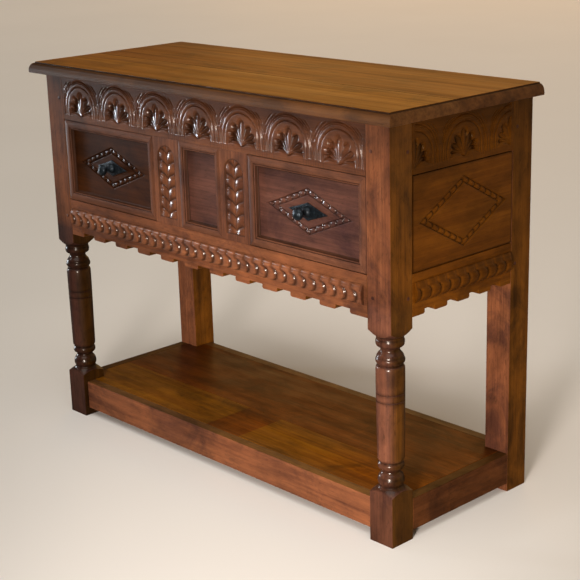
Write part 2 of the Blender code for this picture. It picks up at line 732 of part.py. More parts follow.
def drawer_pull(prefix, centre_x):
    """A forged plate, a turned knob whose shank goes through the front, and its nut inside."""
    middle = Vector((centre_x, 0, OPENING_MIDDLE_Z))
    plate_face_y = FIELD_Y - GAP - PLATE_THICKNESS
    diamond = [(-PLATE_HALF_WIDTH, 0), (0, -PLATE_HALF_HEIGHT), (PLATE_HALF_WIDTH, 0), (0, PLATE_HALF_HEIGHT)]
    plate_middle = middle + Vector((0, FIELD_Y - GAP - PLATE_THICKNESS / 2, 0))
    frame = frame_of(plate_middle, (1, 0, 0), (0, 0, 1))
    mesh = prism(prefix + "_pull_plate", diamond, PLATE_THICKNESS, frame)
    plate = finish(prefix + "_pull_plate", mesh, IRON)
    reach = 2 * PANEL_THICKNESS
    hole_profile = [(0.0, reach), (SHANK_HOLE_RADIUS, reach), (SHANK_HOLE_RADIUS, -reach), (0.0, -reach)]
    hole = as_cutter(turned(prefix + "_shank_hole", hole_profile, 12))
    outward = Matrix.Rotation(math.radians(90), 4, "X")
    hole.matrix_world = Matrix.Translation(middle + Vector((0, FIELD_Y, 0))) @ outward
    cut(plate, hole)
    cut(bpy.data.objects[prefix + "_front"], hole)
    knob = turned(prefix + "_pull_knob", pull_profile(plate_face_y), 12)
    knob.matrix_world = Matrix.Translation(middle + Vector((0, plate_face_y, 0))) @ outward
    knob_mesh = meshed(knob)
    shade_round(knob_mesh)
    finish(prefix + "_pull_knob", knob_mesh, IRON)
    nut_y = FIELD_BACK_Y + GAP
    ring = bmesh.new()
    place = Matrix.Translation(middle + Vector((0, nut_y + NUT_THICKNESS / 2, 0))) @ outward
    sizes = {"radius1": NUT_RADIUS, "radius2": NUT_RADIUS, "depth": NUT_THICKNESS}
    bmesh.ops.create_cone(ring, cap_ends=True, segments=6, matrix=place, **sizes)
    nut = finish(prefix + "_pull_nut", mesh_from(ring, prefix + "_pull_nut"), IRON)
    nut_hole = as_cutter(turned(prefix + "_nut_hole", hole_profile, 12))
    nut_hole.matrix_world = Matrix.Translation(middle + Vector((0, nut_y, 0))) @ outward
    cut(nut, nut_hole)


def drawer(prefix, low_x, high_x):
    """A drawer that fills the opening between two X positions, with mitred mouldings on its front."""
    before = set(TABLE.objects)
    slide = drawer_slide(prefix, (low_x + high_x) / 2)
    left, right = low_x + DRAWER_CLEARANCE, high_x - DRAWER_CLEARANCE
    low_z, high_z = OPENING_LOW_Z + DRAWER_CLEARANCE, OPENING_HIGH_Z - DRAWER_CLEARANCE
    board(prefix + "_front", (left, FIELD_Y, low_z), (right, FIELD_BACK_Y, high_z), STAINED)
    mitred_frame(prefix + "_moulding", left, right, low_z, high_z, MOULDING_WIDTH, FIELD_Y)
    front_y = FIELD_BACK_Y + GAP
    back_y = BACK_PANEL_FRONT_Y - GAP
    side_low_z = OPENING_LOW_Z + GAP
    for side, x in (("left", left), ("right", right - DRAWER_SIDE)):
        board(
            f"{prefix}_side_{side}",
            (x, front_y, side_low_z),
            (x + DRAWER_SIDE, back_y, DRAWER_TOP_Z),
            PLAIN_WOOD,
        )
    inner_left, inner_right = left + DRAWER_SIDE + GAP, right - DRAWER_SIDE - GAP
    back_front_y = back_y - DRAWER_SIDE
    board(
        prefix + "_back",
        (inner_left, back_front_y, side_low_z),
        (inner_right, back_y, DRAWER_TOP_Z - DRAWER_BACK_DROP),
        PLAIN_WOOD,
    )
    board(
        prefix + "_bottom",
        (inner_left, front_y, DRAWER_BOTTOM_Z),
        (inner_right, back_front_y - GAP, DRAWER_BOTTOM_Z + DRAWER_BOTTOM_THICKNESS),
        PLAIN_WOOD,
    )
    drawer_pull(prefix, (low_x + high_x) / 2)
    bpy.context.view_layer.update()
    for piece in set(TABLE.objects) - before - {slide}:
        piece.parent = slide
        piece.matrix_parent_inverse = slide.matrix_world.inverted()


clear_scene()
TABLE = new_collection("console_table")
CUTTERS = new_collection("cutters")
top_boards()
case_frame()
case_panels()
drawer_runners()
stretchers_and_shelf()
drawer("drawer_left", -POST_INNER_X, -MUNTIN_OUTER_X)
drawer("drawer_right", MUNTIN_OUTER_X, POST_INNER_X)
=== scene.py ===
"""The look of the carved console table: carving, turned legs, mouldings, stain and ironwork."""

import math

import bmesh
import bpy
import numpy as np
from mathutils import Matrix, Vector, noise


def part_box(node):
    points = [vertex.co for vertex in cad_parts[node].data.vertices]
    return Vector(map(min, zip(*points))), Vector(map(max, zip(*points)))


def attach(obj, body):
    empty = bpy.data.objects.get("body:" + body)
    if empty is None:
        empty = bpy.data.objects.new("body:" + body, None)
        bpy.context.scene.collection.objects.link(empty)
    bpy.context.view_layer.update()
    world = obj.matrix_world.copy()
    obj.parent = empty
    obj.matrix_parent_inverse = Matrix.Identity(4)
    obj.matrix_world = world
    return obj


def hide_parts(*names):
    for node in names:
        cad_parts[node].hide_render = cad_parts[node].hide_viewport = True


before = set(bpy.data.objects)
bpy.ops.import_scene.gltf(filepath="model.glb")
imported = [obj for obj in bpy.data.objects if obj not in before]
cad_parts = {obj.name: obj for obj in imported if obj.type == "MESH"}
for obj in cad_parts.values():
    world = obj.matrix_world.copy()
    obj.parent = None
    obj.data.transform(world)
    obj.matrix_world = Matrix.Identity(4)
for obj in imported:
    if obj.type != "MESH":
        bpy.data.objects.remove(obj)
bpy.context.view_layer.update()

CASE = "case"
DRAWERS = ("drawer_left", "drawer_right")
X, Y, Z = np.eye(3)


# Places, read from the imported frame, and the sizes of the joinery


def box(name):
    low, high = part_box(name)
    return np.array(low), np.array(high)


HALF_CASE = box("leg_front_right")[1][0]
POST_INNER_X = box("leg_front_right")[0][0]
FRONT_Y = box("leg_front_right")[0][1]
POST_FRONT_BACK_Y = box("leg_front_right")[1][1]
POST_BACK_FRONT_Y = box("leg_back_right")[0][1]
SIDE_CENTRE_Y = (POST_FRONT_BACK_Y + POST_BACK_FRONT_Y) / 2
FIELD_Y = box("drawer_right_front")[0][1]
GAP = 0.0003
BOARD = 0.025
TENON_HALF = 0.005
TENON_Z = (0.790, 0.876)


# Stained wood and iron


WHITE, HONEY, AMBER = (1.0, 1.0, 1.0), (1.0, 0.78, 0.52), (1.0, 0.60, 0.20)


def link(tree, source, target):
    tree.links.new(source, target)


def node(tree, kind, **values):
    made = tree.nodes.new(kind)
    for name, value in values.items():
        setattr(made, name, value)
    return made


def maths(tree, operation, first, second=None):
    """One sum on numbers or on the outputs of other nodes."""
    made = node(tree, "ShaderNodeMath", operation=operation)
    for slot, value in enumerate((first, second)):
        if isinstance(value, (int, float)):
            made.inputs[slot].default_value = value
        elif value is not None:
            link(tree, value, made.inputs[slot])
    return made.outputs[0]


def plus(tree, first, second):
    return maths(tree, "ADD", first, second)


def times(tree, first, second):
    return maths(tree, "MULTIPLY", first, second)


def above(tree, value, limit):
    return maths(tree, "GREATER_THAN", value, limit)


def below(tree, value, limit):
    return maths(tree, "LESS_THAN", value, limit)


def ramp(tree, source, stops):
    """A colour ramp. Each stop is a place and either a grey or a colour."""
    made = node(tree, "ShaderNodeValToRGB")
    while len(made.color_ramp.elements) < len(stops):
        made.color_ramp.elements.new(0.5)
    for element, (place, shade) in zip(made.color_ramp.elements, stops):
        colour = shade if isinstance(shade, tuple) else (shade, shade, shade)
        element.position = place
        element.color = (*colour, 1.0)
    link(tree, source, made.inputs["Fac"])
    return made.outputs["Color"]


def mix(tree, factor, first, second, blend="MIX"):
    made = node(tree, "ShaderNodeMix", data_type="RGBA", blend_type=blend)
    for slot, value in ((0, factor), (6, first), (7, second)):
        if isinstance(value, (int, float)):
            made.inputs[slot].default_value = value
        elif isinstance(value, tuple):
            made.inputs[slot].default_value = (*value, 1.0)
        else:
            link(tree, value, made.inputs[slot])
    return made.outputs[2]


def tinted(tree, colour, factor):
    return mix(tree, 1.0, colour, factor, "MULTIPLY")


def axes(tree, source):
    """The X, Y and Z parts of a vector."""
    parts = node(tree, "ShaderNodeSeparateXYZ")
    link(tree, source, parts.inputs[0])
    return tuple(parts.outputs)


def facing(tree):
    """The X, Y and Z parts of the way a face looks."""
    return axes(tree, node(tree, "ShaderNodeNewGeometry").outputs["Normal"])


def streaks(tree, place, scale, detail, rough, distort=0.0):
    mapping = node(tree, "ShaderNodeMapping")
    mapping.inputs["Scale"].default_value = scale
    link(tree, place, mapping.inputs["Vector"])
    made = node(tree, "ShaderNodeTexNoise")
    made.inputs["Scale"].default_value = 1.0
    made.inputs["Detail"].default_value = detail
    made.inputs["Roughness"].default_value = rough
    made.inputs["Distortion"].default_value = distort
    link(tree, mapping.outputs[0], made.inputs["Vector"])
    return made.outputs["Fac"]


def new_material(name):
    """A material with its node tree, its shader and the places it is coloured by."""
    material = bpy.data.materials.new(name)
    material.use_nodes = True
    tree = material.node_tree
    place = node(tree, "ShaderNodeTexCoord").outputs["Object"]
    return material, tree, tree.nodes["Principled BSDF"], place


def roughen(tree, shader, height, strength, distance):
    bump = node(tree, "ShaderNodeBump")
    bump.inputs["Strength"].default_value = strength
    bump.inputs["Distance"].default_value = distance
    link(tree, height, bump.inputs["Height"])
    link(tree, bump.outputs[0], shader.inputs["Normal"])


# What the attribute named cut holds on wood that is neither cut nor rubbed
FLAT = 0.15


def along(grain, with_grain, across):
    return tuple(with_grain if axis == grain else across for axis in "XYZ")


def wood(name, grain, stain, rough, coat, carved=False, staves=None, uneven=1.0, long=1.0, tint=WHITE):
    """Stained wood with grain along one axis: pores, figure, uneven stain and a thin worn lacquer."""
    light, middle, dark = stain
    material, tree, shader, place = new_material(name)
    figure = streaks(tree, place, along(grain, 1.3 / long, 34.0 * long), 6.0, 0.60, 0.5)
    fine = streaks(tree, place, along(grain, 5.0 / long, 190.0), 4.0, 0.65, 0.15)
    pores = streaks(tree, place, along(grain, 30.0, 800.0), 2.0, 0.5)
    clouds = streaks(tree, place, along(grain, 3.0 / long, 6.5), 3.0, 0.55)
    blotch = streaks(tree, place, along(grain, 15.0 / long ** 3, 30.0), 5.0, 0.62)
    patina = streaks(tree, place, along(grain, 5.5, 9.0), 6.0, 0.70, 0.8)
    flecks = streaks(tree, place, along(grain, 70.0, 230.0), 2.0, 0.5)
    waviness = streaks(tree, place, along(grain, 5.0, 14.0), 2.0, 0.4)
    tone = plus(tree, times(tree, figure, 0.55), times(tree, fine, 0.45))
    colour = ramp(tree, tone, [(0.28, dark), (0.50, middle), (0.76, light)])
    slow = ramp(tree, clouds, [(0.30, 1 - 0.30 * uneven), (0.50, 1.0), (0.72, 1 + 0.22 * uneven)])
    patchy = ramp(tree, blotch, [(0.32, 1 - 0.34 * uneven), (0.52, 1.0), (0.74, 1 + 0.20 * uneven)])
    stained_dark = tuple(1 - part * uneven for part in (0.56, 0.54, 0.34))
    rubbed_pale = tuple(1 + part * uneven for part in (0.26, 0.22, 0.16))
    aged = ramp(tree, patina, [(0.35, stained_dark), (0.50, 1.0), (0.68, rubbed_pale)])
    for layer in (slow, patchy, aged):
        colour = tinted(tree, colour, layer)
    colour = mix(tree, 0.55 * uneven, colour, ramp(tree, flecks, [(0.62, 1.0), (0.70, 0.45)]), "MULTIPLY")
    colour = mix(tree, 0.6, colour, ramp(tree, pores, [(0.30, 0.50), (0.41, 1.0)]), "MULTIPLY")
    if staves:
        colour = staves(tree, place, colour)
    # Cuts are darkened, partly as gathered stain and partly as painted shade; rubbed spots are made paler.
    if carved:
        cut = node(tree, "ShaderNodeAttribute", attribute_name="cut").outputs["Fac"]
        colour = tinted(tree, colour, ramp(tree, cut, [(0.0, 1.55), (FLAT, 1.0), (0.48, 0.72), (1.0, 0.34)]))
    link(tree, colour, shader.inputs["Base Color"])
    gloss = ramp(tree, blotch, [(0.30, rough + 0.10), (0.70, rough - 0.06)])
    link(tree, gloss, shader.inputs["Roughness"])
    grain_height = plus(tree, times(tree, fine, 0.35), times(tree, pores, 0.15))
    height = plus(tree, grain_height, times(tree, waviness, 1.6))
    roughen(tree, shader, height, 0.35, 0.0006)
    shader.inputs["Coat Weight"].default_value = coat
    shader.inputs["Coat Roughness"].default_value = 0.21 if carved else 0.27
    shader.inputs["Specular IOR Level"].default_value = 0.06 if coat > 0.1 else 0.16
    shader.inputs["Specular Tint"].default_value = (*tint, 1.0)
    return material


def iron(name):
    """Forged iron: blue-black scale, hammer marks and a little rub on the high spots."""
    material, tree, shader, place = new_material(name)
    scale = streaks(tree, place, (90.0, 90.0, 90.0), 5.0, 0.6)
    black, blue, rubbed = (0.008, 0.011, 0.015), (0.020, 0.030, 0.040), (0.055, 0.075, 0.095)
    colour = ramp(tree, scale, [(0.35, black), (0.55, blue), (0.75, rubbed)])
    link(tree, colour, shader.inputs["Base Color"])
    link(tree, ramp(tree, scale, [(0.35, 0.50), (0.70, 0.28)]), shader.inputs["Roughness"])
    dents = node(tree, "ShaderNodeTexVoronoi", feature="SMOOTH_F1")
    dents.inputs["Scale"].default_value = 210.0
    link(tree, place, dents.inputs["Vector"])
    roughen(tree, shader, dents.outputs["Distance"], 0.5, 0.0008)
    shader.inputs["Metallic"].default_value = 0.75
    return material


def shelf_staves(tree, place, colour):
    """Glued-up staves: golden ones along the front with a dark one between them, and redder ones behind."""
    x, y, _ = axes(tree, place)
    in_front = below(tree, y, -0.031)
    dark_stave = times(tree, above(tree, x, -0.060), below(tree, x, 0.054))
    golden_end = ramp(tree, plus(tree, x, 0.5), [(0.72, 1.0), (0.90, 0.25)])
    golden = times(tree, maths(tree, "SUBTRACT", in_front, times(tree, in_front, dark_stave)), golden_end)
    red = tinted(tree, colour, (0.88, 0.72, 0.62))
    colour = mix(tree, golden, red, tinted(tree, colour, (1.16, 1.36, 1.0)))
    colour = tinted(tree, colour, ramp(tree, plus(tree, y, 0.5), [(0.56, 1.0), (0.67, 0.86)]))
    stave = node(tree, "ShaderNodeCombineXYZ")
    for slot, (part, count) in enumerate(((x, 8.0), (y, 12.0))):
        link(tree, maths(tree, "FLOOR", times(tree, part, count)), stave.inputs[slot])
    white = node(tree, "ShaderNodeTexWhiteNoise", noise_dimensions="2D")
    link(tree, stave.outputs[0], white.inputs["Vector"])
    return tinted(tree, colour, ramp(tree, white.outputs["Value"], [(0.0, 0.88), (1.0, 1.10)]))


def top_joints_and_edge_shade(tree, place, colour):
    """The glue line between the two boards, a redder back board, and a darker, greyer moulded edge with a
    dark quirk: painted shade and a painted cool sheen on the edge, deepest toward the left end, and a
    painted shadow line in the quirk.
    """
    x, y, z = axes(tree, place)
    seam_y, line_half, top_z, quirk_z = -0.035, 0.0020, 0.9136, 0.9105
    colour = mix(tree, above(tree, y, seam_y), colour, tinted(tree, colour, (0.86, 0.78, 0.74)))
    line = below(tree, maths(tree, "ABSOLUTE", plus(tree, y, -seam_y)), line_half)
    rim = below(tree, z, top_z)
    line = times(tree, line, maths(tree, "SUBTRACT", 0.80, rim))
    colour = mix(tree, line, colour, (0.020, 0.007, 0.002))
    # Painted falloff along the moulded edge: darker toward the left end, lighter near the right, over
    # painted shade and a painted cool sheen.
    painted_edge_falloff = [(0.0, 0.50), (0.5, 0.66), (0.90, 1.20), (0.97, 1.20), (1.0, 0.92)]
    edge = tinted(tree, tinted(tree, colour, (0.42, 0.47, 1.80)), ramp(tree, plus(tree, x, 0.5), painted_edge_falloff))
    colour = mix(tree, rim, colour, edge)
    # A painted shadow line in the quirk under the arris.
    quirk = times(tree, above(tree, z, quirk_z), rim)
    return mix(tree, times(tree, quirk, 0.7), colour, (0.018, 0.006, 0.002))


def painted_side_bounce(tree, place, colour):
    """Faces that look sideways get a darker, more golden tone: a painted warm bounce from the side."""
    sideways = ramp(tree, maths(tree, "ABSOLUTE", facing(tree)[0]), [(0.55, 0.0), (0.95, 1.0)])
    return mix(tree, sideways, colour, tinted(tree, colour, (0.73, 0.72, 0.18)))


def leg_painted_light(tree, place, colour):
    """Painted warm bounce on the sides; painted shade toward the floor on the feet, and in bands round the
    beads, where the creases also gather stain; painted shade darkening the left leg's turning, and a cooler
    tone on the right leg's.
    """
    x, _, z = axes(tree, place)
    turned = ramp(tree, z, [(0.50, 1.0), (0.53, 0.0)])
    # The left leg's turning is darkened as painted shade, the right leg's made cooler in tone.
    leg_tone_left_painted_shade = mix(tree, below(tree, x, 0.0), (0.86, 0.94, 1.25), (0.40, 0.45, 0.75))
    colour = mix(tree, turned, colour, tinted(tree, colour, leg_tone_left_painted_shade))
    # Darker toward the floor, as painted shade, and in bands round the beads, partly gathered stain and
    # partly painted shade.
    painted_foot_and_bead_shade = ramp(tree, z, [
        (0.0, 0.52), (0.100, 0.76), (0.116, 0.76), (0.120, 0.60), (0.176, 0.64), (0.188, 1.0),
        (0.386, 1.0), (0.396, 0.66), (0.456, 0.64), (0.470, 1.0)])
    return tinted(tree, painted_side_bounce(tree, place, colour), painted_foot_and_bead_shade)


def painted_golden_tops(tree, place, colour):
    """Upper faces tinted gold: a painted warm sheen."""
    upward = ramp(tree, facing(tree)[2], [(0.55, 0.0), (0.9, 1.0)])
    return mix(tree, upward, colour, tinted(tree, colour, (0.80, 0.95, 0.60)))


# Each stain is a light, a middle and a dark tone

BROWN = ((0.214, 0.080, 0.033), (0.134, 0.047, 0.0200), (0.058, 0.019, 0.0100))
RUN_BROWN = ((0.158, 0.063, 0.032), (0.098, 0.038, 0.020), (0.048, 0.018, 0.011))
# A darker, golden copy of the brown for the ends of the case: painted warm bounce light.
PAINTED_BOUNCE_BROWN = ((0.160, 0.054, 0.0038), (0.102, 0.031, 0.0023), (0.052, 0.015, 0.0013))
TOP_GOLD = ((0.430, 0.170, 0.014), (0.280, 0.098, 0.007), (0.125, 0.036, 0.003))
SHELF_GOLD = ((0.222, 0.075, 0.0045), (0.130, 0.038, 0.0027), (0.052, 0.013, 0.0014))
# A darker, golden copy of the brown for the end stretchers: painted shade.
SHADED_END_RAIL_BROWN = ((0.108, 0.037, 0.011), (0.068, 0.022, 0.007), (0.034, 0.011, 0.004))
FIELD_BROWN = ((0.124, 0.052, 0.035), (0.074, 0.030, 0.0215), (0.031, 0.0125, 0.0095))
# A darker copy of the field brown for the left drawer: painted shade.
SHADED_FIELD_BROWN = ((0.070, 0.021, 0.005), (0.040, 0.012, 0.003), (0.018, 0.005, 0.0015))
BARE = ((0.46, 0.30, 0.16), (0.33, 0.20, 0.10), (0.20, 0.11, 0.05))
PEG_BROWN = (BROWN[1], BROWN[2], (0.02, 0.006, 0.003))


def stained(grain):
    """The brown of boards and posts that are seen from the front, with the painted warm bounce on their
    sideways faces.
    """
    return wood("stained_" + grain, grain, BROWN, 0.42, 0.12, staves=painted_side_bounce, uneven=0.9, tint=HONEY)


def carved_wood(grain):
    return wood("carved_" + grain, grain, BROWN, 0.40, 0.75, carved=True, uneven=0.7)


def run_wood(grain):
    return wood("run_" + grain, grain, RUN_BROWN, 0.44, 0.20, carved=True, uneven=0.7)


def bare_wood(grain):
    return wood("plain_" + grain, grain, BARE, 0.62, 0.0, uneven=0.4)


def leg_wood():
    return wood("leg_Z", "Z", BROWN, 0.40, 0.35, carved=True, staves=leg_painted_light, uneven=0.9, tint=HONEY)


def top_wood():
    return wood("top_wood_X", "X", TOP_GOLD, 0.42, 0.0, staves=top_joints_and_edge_shade, uneven=0.6, long=2.2)


def shelf_wood():
    name = "shelf_wood_X"
    return wood(name, "X", SHELF_GOLD, 0.44, 0.0, staves=shelf_staves, uneven=0.8, long=1.2, tint=AMBER)


def rail_wood():
    return wood("rail_X", "X", BROWN, 0.42, 0.10, staves=painted_golden_tops, uneven=0.8)


def shaded_side_rail_wood():
    return wood("rail_Y_painted_shade", "Y", SHADED_END_RAIL_BROWN, 0.44, 0.0, staves=painted_golden_tops, uneven=0.8, tint=AMBER)


STAIN = {grain: stained(grain) for grain in "XZ"}
# The end boards take the painted bounce copy of the brown.
STAIN["Y"] = wood("stained_Y", "Y", PAINTED_BOUNCE_BROWN, 0.44, 0.0, uneven=0.6, tint=AMBER)
CARVED = {grain: carved_wood(grain) for grain in "XZ"}
CARVED["Y"] = wood("carved_Y", "Y", PAINTED_BOUNCE_BROWN, 0.40, 0.06, carved=True, uneven=0.5, tint=AMBER)
LEG_WOOD = leg_wood()
TOP_WOOD = top_wood()
SHELF_WOOD = shelf_wood()
RAIL_TOPS = {"X": rail_wood(), "Y": shaded_side_rail_wood()}
FIELD = wood("field_X", "X", FIELD_BROWN, 0.40, 0.50, carved=True, uneven=0.8)
SHADED_FIELD = wood("shaded_field_X", "X", SHADED_FIELD_BROWN, 0.40, 0.12, carved=True, uneven=0.8)
RUN = {grain: run_wood(grain) for grain in "XZ"}
PLAIN = {grain: bare_wood(grain) for grain in "XY"}
PEG_WOOD = wood("peg_wood", "Z", PEG_BROWN, 0.5, 0.1)
IRON = iron("forged_iron")


# Meshes


def mesh_of(name, points, groups, smooth_degrees):
    """A mesh from an array of points and lists of faces, each list with one number of corners."""
    mesh = bpy.data.meshes.new(name)
    groups = [np.asarray(group, dtype=np.int32) for group in groups if len(group)]
    corners = np.concatenate([group.ravel() for group in groups])
    sizes = np.concatenate([np.full(len(group), group.shape[1]) for group in groups])
    mesh.vertices.add(len(points))
    mesh.vertices.foreach_set("co", np.asarray(points, dtype=np.float32).ravel())
    mesh.loops.add(len(corners))
    mesh.loops.foreach_set("vertex_index", corners)
    mesh.polygons.add(len(sizes))
    mesh.polygons.foreach_set("loop_start", np.concatenate([[0], np.cumsum(sizes)[:-1]]).astype(np.int32))
    mesh.update(calc_edges=True)
    mesh.validate()
    mesh.shade_smooth()
    mesh.set_sharp_from_angle(angle=math.radians(smooth_degrees))
    return mesh


def mesh_from(shape, name):
    """A mesh from an edited shape, which is then done with."""
    mesh = bpy.data.meshes.new(name)
    shape.to_mesh(mesh)
    shape.free()
    return mesh


def face_outward(mesh):
    shape = bmesh.new()
    shape.from_mesh(mesh)
    bmesh.ops.recalc_face_normals(shape, faces=shape.faces)
    shape.to_mesh(mesh)
    shape.free()


def placed(name, data):
    """A new object in the scene."""
    made = bpy.data.objects.new(name, data)
    bpy.context.scene.collection.objects.link(made)
    return made


def piece(name, mesh, body, nodes, material):
    """A piece of the visual model that rides on a body and stands for the CAD nodes given."""
    made = placed(name, mesh)
    mesh.materials.clear()
    mesh.materials.append(material)
    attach(made, body)
    if nodes:
        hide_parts(*nodes)
    return made


def block_corners(low, high):
    """The eight corners of a box, round its foot and then round its top."""
    (x0, y0, z0), (x1, y1, z1) = low, high
    return [(x, y, z) for z in (z0, z1) for x, y in ((x0, y0), (x1, y0), (x1, y1), (x0, y1))]


BLOCK_FACES = ((0, 3, 2, 1), (4, 5, 6, 7), (0, 1, 5, 4), (1, 2, 6, 5), (2, 3, 7, 6), (3, 0, 4, 7))


def slab(us, vs, heights, origin, u_dir, out_dir, back, blocks=()):
    """Points and faces of a closed slab whose front is a height field over two rising lists of places."""
    across, up = np.meshgrid(us, vs)
    front = origin + across[..., None] * u_dir + up[..., None] * Z + heights[..., None] * out_dir
    count_v, count_u = heights.shape
    index = np.arange(count_u * count_v).reshape(count_v, count_u)
    low_back, high_back = (origin + us[:, None] * u_dir + v * Z + back * out_dir for v in (vs[0], vs[-1]))
    points = np.concatenate([front.reshape(-1, 3), low_back, high_back])
    low = count_u * count_v + np.arange(count_u)
    high = low + count_u

    def strip(a, b):
        return np.stack([a[:-1], a[1:], b[1:], b[:-1]], axis=1)

    field = np.stack([index[:-1, :-1], index[:-1, 1:], index[1:, 1:], index[1:, :-1]], axis=-1)
    quads = [field.reshape(-1, 4), strip(low, index[0]), strip(index[-1], high), strip(high, low)]
    left = [np.concatenate([[low[0]], index[:, 0], [high[0]]])]
    right = [np.concatenate([[high[-1]], index[::-1, -1], [low[-1]]])]
    for block_low, block_high in blocks:
        quads.append(np.array(BLOCK_FACES) + len(points))
        points = np.concatenate([points, block_corners(block_low, block_high)])
    return points, [np.concatenate(quads), left, right]


def add_cut(mesh, amounts):
    """Stores how deep in a cut each front point lies, up to 1, or below 0 how far it is rubbed pale. The
    darkening in cuts is partly gathered stain and partly painted shade.
    """
    layer = mesh.attributes.new("cut", "FLOAT", "POINT")
    values = np.zeros(len(mesh.vertices))
    values[: amounts.size] = np.ravel(amounts)
    values = np.where(values > 0, FLAT + (1 - FLAT) * values, FLAT * (1 + values))
    layer.data.foreach_set("value", np.clip(values, 0, 1).astype(np.float32))


def spread(low, high, step):
    return np.linspace(low, high, max(2, int(round((high - low) / step)) + 1))


def fine_between(low, high, fine_low, fine_high, fine, coarse):
    """Places from low to high, close together between the two fine limits."""
    before = spread(low, fine_low, coarse)[:-1]
    after = spread(fine_high, high, coarse)[1:]
    return np.concatenate([before, spread(fine_low, fine_high, fine), after])


def smooth(value):
    value = np.clip(value, 0, 1)
    return value * value * (3 - 2 * value)


def groove(distance, half_width, depth):
    return -depth * smooth(1 - np.abs(distance) / half_width)


def carve(node_name, body, relief, places, origin, u_dir, out_dir, back, material, blocks=(), sharp=60):
    """A carved board in the place of a CAD node. Its relief is a height and a stain over the places; the
    stain in the cuts is partly painted shade.
    """
    heights, stain = relief
    points, groups = slab(*places, heights, origin, u_dir, out_dir, back, blocks)
    mesh = mesh_of(node_name + "_carved", points, groups, sharp)
    add_cut(mesh, stain)
    piece(mesh.name, mesh, body, [node_name], material)


def about(middle, half):
    return middle - half, middle + half


def block(*limits):
    """The low and the high corner of a box, from its limits along X, Y and Z."""
    return tuple(zip(*(sorted(pair) for pair in limits)))


def side_origin(side, height=0.0):
    """The middle of an end of the case, at a height."""
    return side * HALF_CASE * X + SIDE_CENTRE_Y * Y + height * Z


# Carving


def scale_rise(phase):
    """One overlapping scale: it rises along its length, rolls over and drops sharply at its rounded end."""
    rise = np.sin(np.clip(phase / 0.66, 0, 1) * math.pi / 2) ** 0.75
    drop = np.clip((phase - 0.66) / 0.34, 0, 1)
    return rise * np.sqrt(np.clip(1 - drop ** 2.4, 0, 1))


def crease(phase):
    """How near a point is to the sharp line between two overlapping scales, from 0 to 1."""
    return np.maximum(np.exp(-((phase / 0.15) ** 2)), np.exp(-(((1 - phase) / 0.10) ** 2)))


ARCH_Z = 0.810
ARCH_FOOT_Z = 0.7905
STEM_Z = 0.7915
FAN_EDGE = 82.0
# Each leaf of a palmette: its turn from upright and its half width, both in degrees, and its length
LEAVES = ((0.0, 14.0, 0.0540), (28.0, 14.0, 0.0490), (53.0, 11.0, 0.0445), (73.5, 9.5, 0.0400))


def palmette(across, up):
    """A fan of seven leaves over a stem, folded down its middle in a hollow: its height and its stain, which
    is partly painted shade in the hollow and along the leaf edges.
    """
    reach = np.hypot(across, up)
    turn = np.degrees(np.arctan2(np.abs(across), np.maximum(up, 1e-6)))
    turn = turn / (0.66 + 0.40 * np.clip(reach / 0.050, 0, 1.2))
    outline = np.full(across.shape, LEAVES[-1][2])
    aside = np.ones(across.shape)
    for centre, half_width, length in LEAVES:
        local = (turn - centre) / half_width
        here = np.abs(local) <= 1
        outline = np.where(here, length * (1 - 0.26 * np.abs(local) ** 2.2), outline)
        aside = np.where(here, local, aside)
    share = reach / outline
    crown = 1 - np.abs(aside) ** 1.35
    tip = np.sqrt(np.clip(1 - share ** 7, 0, 1))
    strength = smooth(reach / 0.014)
    edges = strength * smooth((np.abs(aside) - 0.68) / 0.32)
    ribbed = smooth((share - 0.2) / 0.1) * smooth((0.86 - share) / 0.1)
    vein = 0.0005 * smooth(1 - np.abs(aside) / 0.16) * ribbed
    fold = 0.0054 * np.abs(across) / 0.024 + 0.0012 * up / 0.050
    roll = 0.0020 * np.clip(share, 0, 1) ** 2.6
    rounded = strength * (0.0008 * (1 - crown) + 0.0012 * (1 - tip) + 0.0016 * edges)
    raised = -0.0001 - fold - roll - rounded - vein
    past_edge = reach * np.sin(np.radians(np.clip(turn - FAN_EDGE, 0, 90)))
    beyond = np.hypot(np.maximum(reach - outline, 0), past_edge)
    hollow = -0.0042 * (1 - smooth(beyond / 0.0075))
    inside = (share < 1) & (turn < FAN_EDGE)
    rubbed = np.clip(crown * 1.6, 0, 1) * tip
    leaf_stain = np.where(edges > 0.35, 0.55 * edges, -rubbed)
    stain = np.where(inside, leaf_stain, 0.34 * (1 - smooth(beyond / 0.0050)))
    return np.where(inside, np.minimum(raised, 0), hollow), stain


def flutes(across, up, places):
    """Short upright lines cut side by side, fading at their upper ends."""
    total = np.zeros(across.shape)
    for middle, half_width, tall in places:
        beside = np.clip(np.abs(across - middle) / half_width, 0, 1)
        rise = np.clip((tall - up) / (2.5 * half_width), 0, 1)
        total = np.minimum(total, -0.0016 * smooth(1 - beside) * np.sqrt(rise))
    return total


# Flutes between two arches: place, half width and height. Lines of an arch: radius, half width and
# depth. Lines outside an arch: radius, depth, and the heights they run between.
FEET = ((0.0, 0.0022, 0.034), (0.0072, 0.0022, 0.027), (0.0145, 0.0022, 0.024), (0.0285, 0.0028, 0.020))
ARCH_LINES = ((0.0660, 0.0024, 0.0032), (0.0618, 0.0016, 0.0010), (0.0520, 0.0022, 0.0027))
SPANDREL_LINES = ((0.0714, 0.0024, 0.826, 0.8745), (0.0778, 0.0020, 0.846, 0.872))


